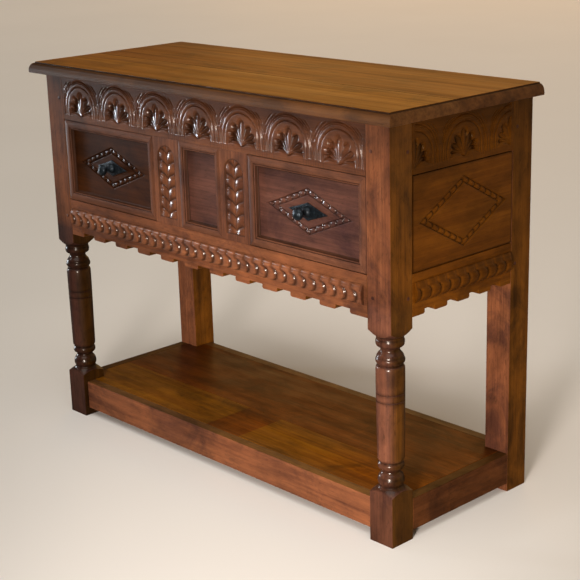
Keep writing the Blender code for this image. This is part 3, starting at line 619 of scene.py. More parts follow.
def arcade_height(us, vs, centres, limit):
    """The arcade on a frieze: double-lined arches with a palmette in each, and flutes and fans between."""
    across, up = np.meshgrid(us, vs)
    total = np.zeros(across.shape)
    stain = np.zeros(across.shape)
    pitch = centres[1] - centres[0]
    for centre in centres:
        du, dv = across - centre, up - ARCH_Z
        radius = np.where(dv > 0, np.hypot(du, dv), np.abs(du))
        between = np.abs(du) < pitch / 2
        rings = np.minimum.reduce([groove(radius - line, half, deep) for line, half, deep in ARCH_LINES])
        crown = np.clip(1 - ((radius - 0.0572) / 0.0050) ** 2, 0, 1)
        band = np.where((radius > 0.0520) & (radius < 0.0624), -0.0009 * (1 - crown), 0)
        total = np.minimum(total, rings + band)
        for line, deep, foot, head in SPANDREL_LINES:
            seen = smooth((up - foot) / 0.006) * smooth((head - up) / 0.004) * between
            total = np.minimum(total, groove(radius - line, 0.0022, deep) * seen)
        leaves, leaf_stain = palmette(du, up - STEM_Z)
        within = np.abs(du) < 0.0505
        stain = np.where(within, np.maximum(stain, leaf_stain), stain)
        lines = total
        total = np.where(within, np.minimum(total, leaves), total)
        stain = np.maximum(stain, -lines / 0.0052)
    for middle in np.append(centres, centres[-1] + pitch) - pitch / 2:
        du = across - middle
        places = [(side * place, half_width, tall) for place, half_width, tall in FEET for side in (-1, 1)]
        cuts = flutes(du, up - ARCH_FOOT_Z, places)
        stain = np.maximum(stain, -cuts / 0.0026)
        total = np.minimum(total, cuts)
    inside = smooth((up - ARCH_FOOT_Z) / 0.0012) * smooth((limit - np.abs(across)) / 0.0012)
    # The whole face is darkened as painted shade under the overhang of the top: more above the feet of the
    # arches, and most in the spandrels near the top.
    ground_painted_shade = 0.26 + 0.14 * smooth((up - ARCH_FOOT_Z) / 0.010)
    nearest = np.abs(np.mod(across - centres[0] + pitch / 2, pitch) - pitch / 2)
    outside = np.where(up > ARCH_Z, np.hypot(nearest, up - ARCH_Z), nearest) - 0.0670
    ground_painted_shade = ground_painted_shade + 0.26 * smooth(outside / 0.004) * smooth((up - 0.822) / 0.010)
    return total * inside, np.where(stain < 0, stain, np.maximum(stain, ground_painted_shade))


def leaf_column_height(us, vs):
    """Two columns of overlapping leaves that spring from a stem, in an arch-topped sunk field."""
    across, up = np.meshgrid(us, vs)
    half, low, spring, pitch = 0.0295, 0.594, 0.7305, 0.0278
    to_edge = np.where(up > spring, half - np.hypot(across, up - spring), half - np.abs(across))
    to_edge = np.minimum(to_edge, up - low)
    sunk = smooth(to_edge / 0.0020)
    aside = np.clip(np.abs(across), 0, half)
    share = aside / half
    lift = 0.0165 * np.sqrt(np.clip(1 - (1 - share) ** 2, 0, 1))
    phase = np.mod((up - low - 0.003 - lift) / pitch, 1.0)
    swell = np.clip(np.sin(math.pi * np.clip(0.06 + 0.90 * share, 0, 1)), 0, 1) ** 0.6
    rise = np.sin(np.clip(phase / 0.42, 0, 1) * math.pi / 2) ** 0.7
    over = np.sqrt(np.clip(1 - (np.clip((phase - 0.42) / 0.58, 0, 1)) ** 2, 0, 1))
    height = -0.0058 + 0.0060 * rise * over * swell
    nick = smooth(1 - np.abs(np.mod(phase * 2.0 + 0.15, 1.0) - 0.5) / 0.12) * smooth((share - 0.45) / 0.15)
    height = height - 0.0009 * nick * (phase < 0.70)
    border = groove(to_edge + 0.0010, 0.0014, 0.0006)
    stem = smooth(1 - np.abs(across) / 0.0020)
    nicked = 0.30 * nick * (phase < 0.7)
    stain = sunk * np.maximum(np.maximum(0.75 * crease(phase), 0.50 * stem), nicked)
    rim = smooth(1 - np.abs(to_edge) / 0.0022)
    return sunk * height + (1 - sunk) * border, np.maximum(stain, 0.8 * rim)


def lozenge_height(us, vs, half_width, half_height):
    """A diamond-shaped band of overlapping scales between two fine lines."""
    across, up = np.meshgrid(us, vs)
    slope = math.hypot(half_width, half_height)
    inward = (1 - np.abs(across) / half_width - np.abs(up) / half_height) * half_width * half_height / slope
    distance = (np.abs(across) * half_width - np.abs(up) * half_height) / slope
    band, scale_pitch, line_half, line_deep = 0.0110, 0.0208, 0.0019, 0.0026
    place = np.clip((inward - band / 2) / (band / 2), -1, 1)
    round_over = np.sqrt(np.clip(1 - place * place, 0, 1))
    toward = np.where(across >= 0, distance, -distance)
    phase = np.mod((toward - 0.0060 * round_over) / scale_pitch, 1.0)
    body = -0.0044 + 0.0047 * round_over ** 0.7 * (0.20 + 0.80 * scale_rise(phase))
    inside = (inward > 0) & (inward < band)
    lines = groove(inward, line_half, line_deep) + groove(inward - band, line_half, line_deep)
    height = np.where(inside, np.minimum(body, 0.0003), lines)
    stain = np.where(inside, np.maximum(0.95 * crease(phase), 0.7 * (1 - round_over)), -lines / 0.0035)
    return height, stain


def gadroon(node_name, u_dir, out_dir, origin, length, pitch, depth, bulge):
    """A half-round moulding carved with overlapping scales. Its lobes point along u_dir."""
    low, high = box(node_name)
    half = (high[2] - low[2]) / 2
    skin = GAP + 0.0006
    on_front = abs(u_dir[0]) > 0.5
    vs = half * np.sin(np.radians(np.linspace(-90, 90, 33)))
    us = spread(-length / 2, length / 2, 0.00115)
    across, up = np.meshgrid(us, vs)
    round_over = np.sqrt(np.clip(1 - (up / half) ** 2, 0, 1))
    from_middle = np.clip((up + bulge * 0.38) / bulge, -1, 1)
    phase = np.mod((across - bulge * np.sqrt(1 - from_middle * from_middle)) / pitch, 1.0)
    rise = scale_rise(phase)
    upper = smooth((up + bulge * 0.38 - bulge * 0.72) / (bulge * 0.5))
    swell = 1 - (0.60 - 0.40 * upper) * (1 - rise)
    heights = skin + (depth - skin) * round_over * swell
    # On the front the lobes are rubbed pale; on the ends the same term turns negative and paints shade over
    # the lobes. The crease darkening, partly painted shade, is weaker on the upper half, where the light
    # falls.
    rubbed = (0.6 if on_front else -0.55) * rise
    stain = np.where(crease(phase) > 0.06, crease(phase) * (1 - 0.6 * upper), -rubbed)
    origin = origin + (high[2] + low[2]) / 2 * Z
    wood_used = CARVED["X" if on_front else "Y"]
    carve(node_name, CASE, (heights, stain), (us, vs), origin, u_dir, out_dir, GAP, wood_used, sharp=55)


def frieze_rows():
    """Heights on a frieze, close together where it is carved."""
    return fine_between(0.778, box("frieze_front")[1][2], 0.7895, 0.8775, 0.00100, 0.004)


def carved_front_frieze():
    reach = POST_INNER_X - GAP
    places = spread(-reach, reach, 0.00105), frieze_rows()
    relief = arcade_height(*places, 0.1449 * np.arange(-3, 4), 0.5005)
    thick = about(FRONT_Y + BOARD / 2, TENON_HALF)
    blocks = [block((side * reach, side * (POST_INNER_X + 0.026)), thick, TENON_Z) for side in (-1, 1)]
    carve("frieze_front", CASE, relief, places, FRONT_Y * Y, X, -Y, -BOARD, CARVED["X"], blocks)


def carved_side_friezes():
    """The same arcade on the ends, cut shallower, with its stain and painted shade lighter too."""
    reach = (POST_BACK_FRONT_Y - POST_FRONT_BACK_Y) / 2 - GAP
    places = spread(-reach, reach, 0.00100), frieze_rows()
    relief = [0.65 * part for part in arcade_height(*places, 0.149 * np.arange(-1, 2), 0.1490)]
    for side, name in ((1, "frieze_right"), (-1, "frieze_left")):
        thick = about(side * (HALF_CASE - BOARD / 2), TENON_HALF)
        blocks = []
        for end in (-1, 1):
            long = SIDE_CENTRE_Y + end * reach, SIDE_CENTRE_Y + end * (reach + 0.0263)
            blocks.append(block(thick, long, TENON_Z))
        carve(name, CASE, relief, places, side_origin(side), side * Y, side * X, -BOARD, CARVED["Y"], blocks)


def carved_muntins():
    for name in ("muntin_left", "muntin_right"):
        low, high = box(name)
        middle = (low[0] + high[0]) / 2
        places = spread(low[0] - middle, high[0] - middle, 0.0010), spread(low[2], high[2], 0.0010)
        origin = middle * X + FRONT_Y * Y
        carve(name, CASE, leaf_column_height(*places), places, origin, X, -Y, -BOARD, CARVED["Z"])


def carved_side_panels():
    """The end panels: a lozenge, and painted shadow along the edges, beside the gap round each panel."""
    for side, name in ((1, "side_panel_right"), (-1, "side_panel_left")):
        low, high = box(name)
        reach = (high[1] - low[1]) / 2 - 0.0018
        tall = (high[2] - low[2]) / 2 - 0.0018
        us = fine_between(-reach, reach, -0.136, 0.136, 0.0010, 0.004)
        vs = fine_between(-tall, tall, -0.076, 0.076, 0.0010, 0.004)
        heights, stain = lozenge_height(us, vs, 0.133, 0.0725)
        across, up = np.meshgrid(us, vs)
        from_edge = np.minimum(reach - np.abs(across), tall - np.abs(up))
        # Painted shadow along the edges of the panel.
        relief = heights, np.maximum(stain, 0.8 * smooth(1 - from_edge / 0.0042))
        origin = side_origin(side, (low[2] + high[2]) / 2)
        carve(name, CASE, relief, (us, vs), origin, side * Y, side * X, -0.018, CARVED["Y"])


def carved_drawer_fronts():
    # The left drawer takes the darker field: painted shade.
    for drawer, material in zip(DRAWERS, (SHADED_FIELD, FIELD)):
        low, high = box(drawer + "_front")
        middle = (low + high) / 2
        reach, tall = (high[0] - low[0]) / 2, (high[2] - low[2]) / 2
        us = fine_between(-reach, reach, -0.124, 0.124, 0.0009, 0.006)
        vs = fine_between(-tall, tall, -0.052, 0.052, 0.0009, 0.006)
        relief = lozenge_height(us, vs, 0.121, 0.0488)
        origin = middle[0] * X + FIELD_Y * Y + middle[2] * Z
        carve(drawer + "_front", drawer, relief, (us, vs), origin, X, -Y, -(high[1] - low[1]), material)


def gadroons():
    low, high = box("gadroon_front")
    gadroon("gadroon_front", X, -Y, FRONT_Y * Y, high[0] - low[0], 0.0293, 0.0100, 0.0138)
    for side, name in ((1, "gadroon_right"), (-1, "gadroon_left")):
        low, high = box(name)
        gadroon(name, side * Y, side * X, side_origin(side), high[1] - low[1], 0.0300, 0.0080, 0.0140)


# Turned legs: the height and the radius of each ring, and the height and the stain of each crease, which is
# partly painted shade

POST_EDGE = 0.0500
LEG_PROFILE = (
    (0.4700, POST_EDGE), (0.4560, 0.0330), (0.4535, 0.0292), (0.4500, 0.0284), (0.4470, 0.0284),
    (0.4455, 0.0290), (0.4430, 0.0297), (0.4395, 0.0299), (0.4360, 0.0295), (0.4330, 0.0284),
    (0.4310, 0.0262), (0.4290, 0.0222), (0.4265, 0.0202), (0.4240, 0.0198), (0.4215, 0.0203),
    (0.4190, 0.0215), (0.4160, 0.0244), (0.4125, 0.0270), (0.4095, 0.0282), (0.4075, 0.0284),
    (0.4065, 0.0290), (0.4045, 0.0300), (0.4020, 0.0304), (0.3990, 0.0301), (0.3965, 0.0290),
    (0.3950, 0.0276), (0.3925, 0.0263), (0.3905, 0.0263), (0.3895, 0.0280), (0.3880, 0.0290),
    (0.3855, 0.0297), (0.3820, 0.0302), (0.3600, 0.0302), (0.3380, 0.0301), (0.3320, 0.0300),
    (0.3308, 0.0286), (0.3296, 0.0300), (0.3240, 0.0300), (0.3200, 0.0300), (0.3155, 0.0299),
    (0.3143, 0.0285), (0.3131, 0.0299), (0.3080, 0.0298), (0.2900, 0.0296), (0.2600, 0.0293),
    (0.2300, 0.0290), (0.2050, 0.0287), (0.1900, 0.0286), (0.1868, 0.0283), (0.1845, 0.0272),
    (0.1820, 0.0256), (0.1800, 0.0250), (0.1785, 0.0256), (0.1770, 0.0268), (0.1745, 0.0277),
    (0.1715, 0.0279), (0.1685, 0.0276), (0.1660, 0.0264), (0.1640, 0.0238), (0.1615, 0.0210),
    (0.1585, 0.0199), (0.1555, 0.0208), (0.1530, 0.0226), (0.1500, 0.0252), (0.1465, 0.0268),
    (0.1440, 0.0272), (0.1425, 0.0278), (0.1395, 0.0283), (0.1365, 0.0282), (0.1335, 0.0276),
    (0.1310, 0.0262), (0.1285, 0.0250), (0.1262, 0.0252), (0.1245, 0.0266), (0.1220, 0.0276),
    (0.1205, 0.0290), (0.1080, POST_EDGE),
)
CREASES = (
    (0.4535, 0.8), (0.4458, 0.8), (0.4310, 0.4), (0.4240, 0.3), (0.4078, 0.7),
    (0.3915, 0.8), (0.3308, 0.6), (0.3143, 0.6), (0.1800, 1.0), (0.1640, 0.4),
    (0.1585, 0.5), (0.1440, 0.6), (0.1285, 0.6), (0.1262, 0.8), (0.1205, 0.6),
)
TURNED_REACH = 0.0312
RINGS = 72


def distances(mesh, centre):
    """The points of a mesh, and how far each one is from an upright line."""
    points = np.zeros(3 * len(mesh.vertices), dtype=np.float32)
    mesh.vertices.foreach_get("co", points)
    points = points.reshape(-1, 3)
    return points, np.hypot(points[:, 0] - centre[0], points[:, 1] - centre[1])


def sharpen_square(mesh, centre):
    """Keeps the flats of the square parts flat in the shading."""
    sharp = mesh.attributes.get("sharp_edge") or mesh.attributes.new("sharp_edge", "BOOLEAN", "EDGE")
    outside = distances(mesh, centre)[1] > TURNED_REACH
    ends = np.zeros(2 * len(mesh.edges), dtype=np.int32)
    mesh.edges.foreach_get("vertices", ends)
    flags = np.zeros(len(mesh.edges), dtype=bool)
    sharp.data.foreach_get("value", flags)
    sharp.data.foreach_set("value", flags | outside[ends.reshape(-1, 2)].all(axis=1))


def crease_stain_and_shade(mesh, centre):
    """Stain gathers in the creases of a turned leg, and painted shade darkens them too."""
    points, radius = distances(mesh, centre)
    values = np.zeros(len(points), dtype=np.float32)
    for height, strength in CREASES:
        values = np.maximum(values, strength * np.exp(-(((points[:, 2] - height) / 0.0026) ** 2)))
    add_cut(mesh, np.where(radius < TURNED_REACH, values, 0))


def turned_shape(name, low_z, high_z):
    """The turned profile, wider than the post where the post stays square."""
    top, foot = high_z + 0.01, low_z - 0.01
    profile = [(top, 0.0), (top, POST_EDGE), *LEG_PROFILE, (foot, POST_EDGE), (foot, 0.0)]
    turns = [2 * math.pi * (i + 0.5) / RINGS for i in range(RINGS)]
    shape = bmesh.new()
    previous = None
    for height, radius in profile:
        if radius == 0.0:
            ring = [shape.verts.new((0, 0, height))]
        else:
            ring = [shape.verts.new((radius * math.cos(t), radius * math.sin(t), height)) for t in turns]
        if previous:
            for i in range(RINGS):
                corners = [previous[i % len(previous)], ring[i % len(ring)]]
                corners += [ring[(i + 1) % len(ring)], previous[(i + 1) % len(previous)]]
                shape.faces.new(list(dict.fromkeys(corners)))
        previous = ring
    return mesh_from(shape, name)


def square_post(name, low_z, high_z, half):
    """A square post with its upright edges eased."""
    shape = bmesh.new()
    bmesh.ops.create_cube(shape, size=1.0, matrix=Matrix.Diagonal((2 * half, 2 * half, high_z - low_z, 1)))
    bmesh.ops.translate(shape, verts=shape.verts, vec=(0, 0, (low_z + high_z) / 2))
    upright = [e for e in shape.edges if abs(e.verts[0].co.z - e.verts[1].co.z) > 0.1]
    bmesh.ops.bevel(shape, geom=upright, offset=0.0014, segments=2, profile=0.5, affect="EDGES")
    return mesh_from(shape, name)


def box_shapes(name, centre, boxes):
    """The mortises of a leg as boxes, with the leg's centre as their origin."""
    shape = bmesh.new()
    for low, high in boxes:
        size = Vector(high) - Vector(low)
        place = Matrix.Translation((Vector(low) + Vector(high)) / 2 - Vector(centre))
        bmesh.ops.create_cube(shape, size=1.0, matrix=place @ Matrix.Diagonal((*size, 1)))
    return mesh_from(shape, name)


def leg_mesh(name, centre, low_z, high_z, half, cuts):
    """A square post crossed with a turned shape, and its mortises cut away."""
    tool = placed(name + "_tool", turned_shape(name + "_turned", low_z, high_z))
    holder = placed(name + "_holder", square_post(name, low_z, high_z, half))
    slot_tool = placed(name + "_slot_tool", box_shapes(name + "_slots", centre, cuts))
    for helper, operation in ((tool, "INTERSECT"), (slot_tool, "DIFFERENCE")):
        modifier = holder.modifiers.new(operation, "BOOLEAN")
        modifier.operation = operation
        modifier.solver = "EXACT"
        modifier.object = helper
    bpy.context.view_layer.update()
    evaluated = holder.evaluated_get(bpy.context.evaluated_depsgraph_get())
    result = bpy.data.meshes.new_from_object(evaluated)
    for made in (holder, tool, slot_tool):
        bpy.data.objects.remove(made, do_unlink=True)
    result.transform(Matrix.Translation(centre))
    result.name = name
    result.shade_smooth()
    result.set_sharp_from_angle(angle=math.radians(34))
    sharpen_square(result, centre)
    crease_stain_and_shade(result, centre)
    return result


def mortise_boxes(side):
    """The mortises of a front post, a little clear of the tenons."""
    reach, wide = 0.0266, 0.0053
    from_side = side * (POST_INNER_X - 0.01), side * (POST_INNER_X + reach)
    from_back = POST_FRONT_BACK_Y - reach, POST_FRONT_BACK_Y + 0.01
    side_thick = about(side * (HALF_CASE - BOARD / 2), wide)
    board_y = FRONT_Y + BOARD / 2
    stretcher_y = sum(corner[1] for corner in box("stretcher_front")) / 2
    frieze, apron, stretcher = (0.7897, 0.8763), (0.5097, 0.5663), (0.0317, 0.0803)
    boxes = []
    for tall, middle_y in ((frieze, board_y), (apron, board_y), (stretcher, stretcher_y)):
        boxes.append(block(from_side, about(middle_y, wide), tall))
        boxes.append(block(side_thick, from_back, tall))
    return boxes


def front_legs():
    for side, node_name in ((-1, "leg_front_left"), (1, "leg_front_right")):
        low, high = box(node_name)
        centre = ((low[0] + high[0]) / 2, (low[1] + high[1]) / 2, 0.0)
        name = node_name + "_turned"
        mesh = leg_mesh(name, centre, low[2], high[2], (high[0] - low[0]) / 2, mortise_boxes(side))
        piece(name, mesh, CASE, [node_name], LEG_WOOD)


# Boards whose edges are only eased


def eased(node_name, body, material, width=0.0011):
    """A copy of a CAD board with its edges softened by hand."""
    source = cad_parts[node_name]
    shape = bmesh.new()
    shape.from_mesh(source.data)
    shape.transform(source.matrix_world)
    bmesh.ops.remove_doubles(shape, verts=shape.verts, dist=0.00002)
    bmesh.ops.dissolve_limit(shape, angle_limit=math.radians(0.5), verts=shape.verts, edges=shape.edges)
    arrises = [e for e in shape.edges if len(e.link_faces) == 2 and e.calc_face_angle(0) > math.radians(40)]
    bmesh.ops.bevel(
        shape, geom=arrises, offset=width, segments=2, profile=0.5, affect="EDGES", clamp_overlap=True)
    mesh = mesh_from(shape, node_name + "_eased")
    mesh.shade_smooth()
    mesh.set_sharp_from_angle(angle=math.radians(20))
    return piece(mesh.name, mesh, body, [node_name], material)


SEAM_WEAR = 0.0006


def top_profile():
    """The edge of the top from its underside up: a thin step, a full ovolo and a worn arris."""
    profile = [(0.0010, 0.0), (0.0, 0.0008), (0.0, 0.0042)]
    for step in range(13):
        turn = math.radians(90 * step / 12)
        profile.append((0.0115 * (1 - math.cos(turn)), 0.0045 + 0.0185 * math.sin(turn)))
    return profile + [(0.0120, 0.0232), (0.0122, 0.0252), (0.0132, 0.0260)]


def top_board(name, front):
    """One board of the top, moulded on its outer edges and mitred at the corners."""
    low, high = box(name)
    profile = top_profile()
    points = []
    for inset, rise in profile:
        worn = SEAM_WEAR * (rise > 0.0255)
        first_y, second_y = (high[1] - worn, low[1] + inset) if front else (high[1], low[1] + worn)
        left, right = inset - high[0], high[0] - inset
        z = low[2] + rise
        points += [(left, first_y, z), (left, second_y, z), (right, second_y, z), (right, first_y, z)]
    sides = []
    for start in range(0, 4 * len(profile) - 4, 4):
        for corner in range(3 if front else 1):
            sides.append((start + corner + 1, start + corner, start + 4 + corner, start + 4 + corner + 1))
        if not front:
            sides.append((start + 3, start + 2, start + 6, start + 7))
    last = 4 * len(profile) - 4
    caps = [(0, 1, 2, 3), (last + 3, last + 2, last + 1, last)]
    columns = [list(range(corner, 4 * len(profile), 4)) for corner in range(4)]
    ends = [columns[0] + columns[3][::-1]]
    if not front:
        ends.insert(0, columns[2] + columns[1][::-1])
    mesh = mesh_of(name + "_shaped", np.array(points), [sides, caps, ends], 28)
    face_outward(mesh)
    piece(mesh.name, mesh, CASE, [name], TOP_WOOD)


def moulding_profile(width, thick):
    """A flat, a quirk, a bead and a small cove: places across, heights, and the stain at each, which in the
    quirk and the cove is partly painted shade.
    """
    flat = width - 0.0076
    profile = [(0.0, 0.0, 0.8), (0.0, thick - 0.0009, 0), (0.0003, thick - 0.0003, 0), (0.0010, thick, 0)]
    profile += [(flat - 0.0012, thick, 0), (flat - 0.0002, thick - 0.0005, 0.3)]
    profile += [(flat + 0.0001, thick - 0.0024, 1), (flat + 0.0008, thick - 0.0027, 1)]
    for step in range(7):
        turn = math.radians(150 - 180 * step / 6)
        across = flat + 0.0024 + 0.0016 * math.cos(turn)
        profile.append((across, thick - 0.0026 + 0.0016 * math.sin(turn), 0.5 * (step > 4)))
    for step in range(6):
        turn = math.radians(90 * step / 5)
        rise = 0.0008 + (thick - 0.0052) * (1 - math.sin(turn))
        profile.append((width - 0.0034 * math.cos(turn), rise, 0.6 + 0.08 * step))
    return profile + [(width, 0.0, 1)]


def moulding(node_name, body, inward):
    """A strip mitred at both ends, in the place of its CAD strip."""
    low, high = box(node_name)
    width_axis = 0 if abs(inward[0]) > 0.5 else 2
    along_axis = 2 - width_axis
    sign = inward[width_axis]
    outer = (low if sign > 0 else high)[width_axis]
    profile = moulding_profile(high[width_axis] - low[width_axis], high[1] - low[1])
    points, stains = [], []
    for across, rise, stain in profile:
        stains += [stain, stain]
        for corner, mitre in ((low, across), (high, -across)):
            place = np.zeros(3)
            place[width_axis] = outer + sign * across
            place[along_axis] = corner[along_axis] + mitre
            place[1] = high[1] - rise
            points.append(place)
    count = len(profile)
    sides = []
    for i in range(count):
        j = (i + 1) % count
        sides.append((2 * i, 2 * i + 1, 2 * j + 1, 2 * j))
    ends = [list(range(0, 2 * count, 2)), list(range(1, 2 * count, 2))[::-1]]
    mesh = mesh_of(node_name + "_run", np.array(points), [sides, ends], 30)
    face_outward(mesh)
    add_cut(mesh, np.array(stains))
    piece(mesh.name, mesh, body, [node_name], RUN["XYZ"[along_axis]])


def mouldings():
    for prefix, body in (("drawer_left", "drawer_left"), ("drawer_right", "drawer_right"), ("centre", CASE)):
        for side, inward in (("top", -Z), ("bottom", Z), ("left", X), ("right", -X)):
            moulding(f"{prefix}_moulding_{side}", body, inward)


# Ironwork and pegs


def revolve(name, profile, place, out_dir, segments, wobble):
    """A closed turned shape. The profile is (height along out_dir, radius) from one end to the other."""
    points, quads, tris, rings = [], [], [], []
    side_a = np.cross(out_dir, X if abs(out_dir[0]) < 0.5 else Z)
    side_b = np.cross(out_dir, side_a)
    for height, radius in profile:
        ring = []
        for i in range(segments if radius else 1):
            turn = 2 * math.pi * i / segments
            bump = 1 + wobble * noise.noise(Vector((3 * math.cos(turn), 3 * math.sin(turn), height * 300)))
            spoke = math.cos(turn) * side_a + math.sin(turn) * side_b
            ring.append(len(points))
            points.append(place + height * out_dir + radius * bump * spoke)
        rings.append(ring)
    for first, second in zip(rings[:-1], rings[1:]):
        for i in range(segments):
            j = (i + 1) % segments
            if len(first) == 1:
                tris.append((first[0], second[i], second[j]))
            elif len(second) == 1:
                tris.append((first[i], second[0], first[j]))
            else:
                quads.append((first[i], second[i], second[j], first[j]))
    mesh = mesh_of(name, np.array(points), [quads, tris], 45)
    face_outward(mesh)
    return mesh


def forged_plate(name, place, half_width, half_height, thick):
    """A diamond plate with hammered edges, thinner toward its rim."""
    sides = 24
    outline = []
    tips = [(half_width, 0.0), (0.0, half_height), (-half_width, 0.0), (0.0, -half_height)]
    for corner in range(4):
        (x0, z0), (x1, z1) = tips[corner], tips[(corner + 1) % 4]
        for step in range(sides):
            share = step / sides
            bow = 1 - 0.035 * math.sin(math.pi * share)
            outline.append(((x0 + (x1 - x0) * share) * bow, (z0 + (z1 - z0) * share) * bow))
    outline = np.array(outline)
    levels = [(1.0, 0.0), (1.0, 0.55), (0.965, 0.80), (0.90, 0.93), (0.70, 0.97), (0.40, 1.0), (0.12, 1.0)]
    points = []
    for scale, rise in levels:
        for x, z in outline:
            rough = noise.noise(Vector((x * 170, z * 170, 7.0)))
            lift = thick * rise * (1 + (0.12 * rough - 0.12 if 0 < rise else 0))
            points.append(place + x * scale * X + z * scale * Z - lift * Y)
    count = len(outline)
    quads = []
    for level in range(len(levels) - 1):
        for i in range(count):
            j = (i + 1) % count
            a, b = level * count, (level + 1) * count
            quads.append((a + i, a + j, b + j, b + i))
    caps = [list(range(count))[::-1], [(len(levels) - 1) * count + i for i in range(count)]]
    mesh = mesh_of(name, np.array(points), [quads, caps], 40)
    face_outward(mesh)
    return mesh


# The knob: how far below the tip and how wide, then how far over the plate and how wide

KNOB_HEAD = (
    (0.0, 0.0), (0.0001, 0.0020), (0.0006, 0.0042), (0.0013, 0.0060), (0.0016, 0.0068),
    (0.0022, 0.0076), (0.0020, 0.0086), (0.0028, 0.0102), (0.0045, 0.0119), (0.0060, 0.0124),
    (0.0066, 0.0122), (0.0071, 0.0126), (0.0085, 0.0131), (0.0100, 0.0126), (0.0105, 0.0121),
    (0.0118, 0.0118), (0.0136, 0.0100), (0.0150, 0.0078), (0.0164, 0.0060), (0.0180, 0.0052),
)
KNOB_FOOT = (
    (0.0150, 0.0050), (0.0125, 0.0053), (0.0110, 0.0060), (0.0098, 0.0066), (0.0088, 0.0066),
    (0.0078, 0.0080), (0.0064, 0.0096), (0.0048, 0.0109), (0.0030, 0.0119), (0.0014, 0.0124),
    (0.0003, 0.0122), (0.0003, 0.0030),
)
NAIL_HEAD = ((0.0022, 0.0), (0.0020, 0.0011), (0.0014, 0.0021), (0.0006, 0.0028), (0.0, 0.0029), (0.0, 0.0))


def knob_profile(tip, tail):
    """From the tip of the knob down to the end of its shank."""
    head = [(tip - down, radius) for down, radius in KNOB_HEAD]
    return [*head, *KNOB_FOOT, (tail, 0.0030), (tail, 0.0)]


def pulls():
    """On each drawer a forged plate, a turned knob and two nails."""
    for drawer in DRAWERS:
        low, high = box(drawer + "_pull_plate")
        middle_x, _, middle_z = (low + high) / 2
        half_width, _, half_height = (high - low) / 2
        base = np.array([middle_x, high[1], middle_z])
        name = drawer + "_plate_forged"
        mesh = forged_plate(name, base, half_width, half_height, high[1] - low[1])
        piece(name, mesh, drawer, [drawer + "_pull_plate"], IRON)
        knob_low, knob_high = box(drawer + "_pull_knob")
        profile = knob_profile(low[1] - knob_low[1], low[1] - knob_high[1])
        name = drawer + "_knob_turned"
        mesh = revolve(name, profile, np.array([middle_x, low[1], middle_z]), -Y, 56, 0.012)
        piece(name, mesh, drawer, [drawer + "_pull_knob"], IRON)
        for end, side in ((-1, "left"), (1, "right")):
            place = np.array([middle_x + end * 0.046, low[1] + 0.0006, middle_z])
            mesh = revolve(f"{drawer}_nail_{side}", NAIL_HEAD, place, -Y, 20, 0.05)
            piece(mesh.name, mesh, drawer, [], IRON)


def pegs():
    """Wooden pegs over the tenons, each a little proud of its post."""
    head = [(0.0007, 0.0), (0.0006, 0.0026), (0.0003, 0.0038), (-0.0006, 0.0040), (-0.0006, 0.0)]
    places = []
    for side in (-1, 1):
        for height in (0.829, 0.533):
            places.append((np.array([side * (POST_INNER_X + 0.015), FRONT_Y, height]), -Y))
            for y in (POST_FRONT_BACK_Y - 0.013, POST_BACK_FRONT_Y + 0.013):
                places.append((np.array([side * HALF_CASE, y, height - 0.003]), side * X))
    for number, (place, out_dir) in enumerate(places, 1):
        mesh = revolve(f"peg_{number:02d}", head, place, out_dir, 20, 0.04)
        piece(mesh.name, mesh, CASE, [], PEG_WOOD)


def plain_boards():
    """Every board that is neither carved nor moulded, and iron on the nuts."""
    for name in ("leg_back_left", "leg_back_right"):
        eased(name, CASE, STAIN["Z"], 0.0014)
    for name in ("apron_front", "back_rail_top", "back_rail_bottom"):
        eased(name, CASE, STAIN["X"])
    add_cut(eased("centre_panel", CASE, FIELD).data, np.zeros(0))
    for name in ("apron_left", "apron_right"):
        eased(name, CASE, STAIN["Y"])
    for name in ("stretcher_left", "stretcher_right"):
        eased(name, CASE, RAIL_TOPS["Y"])
    for name in ("stretcher_front", "stretcher_back"):
        eased(name, CASE, RAIL_TOPS["X"], 0.0014)
    for name in ("shelf_board_front", "shelf_board_back"):
        eased(name, CASE, SHELF_WOOD, 0.0006)
    eased("back_panel", CASE, PLAIN["X"], 0.0008)
    for name in ("drawer_runner_left", "drawer_runner_centre", "drawer_runner_right"):
        eased(name, CASE, PLAIN["Y"], 0.0008)
    for drawer in DRAWERS:
        for part, grain in (("_side_left", "Y"), ("_side_right", "Y"), ("_back", "X"), ("_bottom", "X")):
            eased(drawer + part, drawer, PLAIN[grain], 0.0008)
        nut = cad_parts[drawer + "_pull_nut"]
        for slot in range(len(nut.data.materials)):
            nut.data.materials[slot] = IRON


# The object


carved_front_frieze()
carved_side_friezes()
carved_muntins()
carved_side_panels()
carved_drawer_fronts()
gadroons()
front_legs()
mouldings()
pulls()
pegs()
plain_boards()
top_board("top_board_front", True)
top_board("top_board_back", False)


# The stage, lights and camera


def floor_material():
    material, tree, shader, place = new_material("floor")
    cloud = streaks(tree, place, (0.9, 0.9, 0.9), 3.0, 0.5)
    colour = ramp(tree, cloud, [(0.3, (0.79, 0.785, 0.77)), (0.7, (0.81, 0.805, 0.79))])
    link(tree, colour, shader.inputs["Base Color"])
    shader.inputs["Roughness"].default_value = 0.6
    return material


def stage():
    shape = bmesh.new()
    bmesh.ops.create_grid(shape, x_segments=1, y_segments=1, size=45.0)
    floor = placed("floor", mesh_from(shape, "floor"))
    floor.data.materials.append(floor_material())
    floor.visible_glossy = False


def lamp(name, kind, power, colour, **values):
    """A light of any kind, with the further settings of its kind."""
    data = bpy.data.lights.new(name, kind)
    data.energy = power
    data.color = colour
    for setting, value in values.items():
        setattr(data, setting, value)
    return placed(name, data)


def aim(light, place, target):
    light.location = place
    light.rotation_euler = (Vector(target) - Vector(place)).to_track_quat("-Z", "Y").to_euler()
    light.visible_camera = False


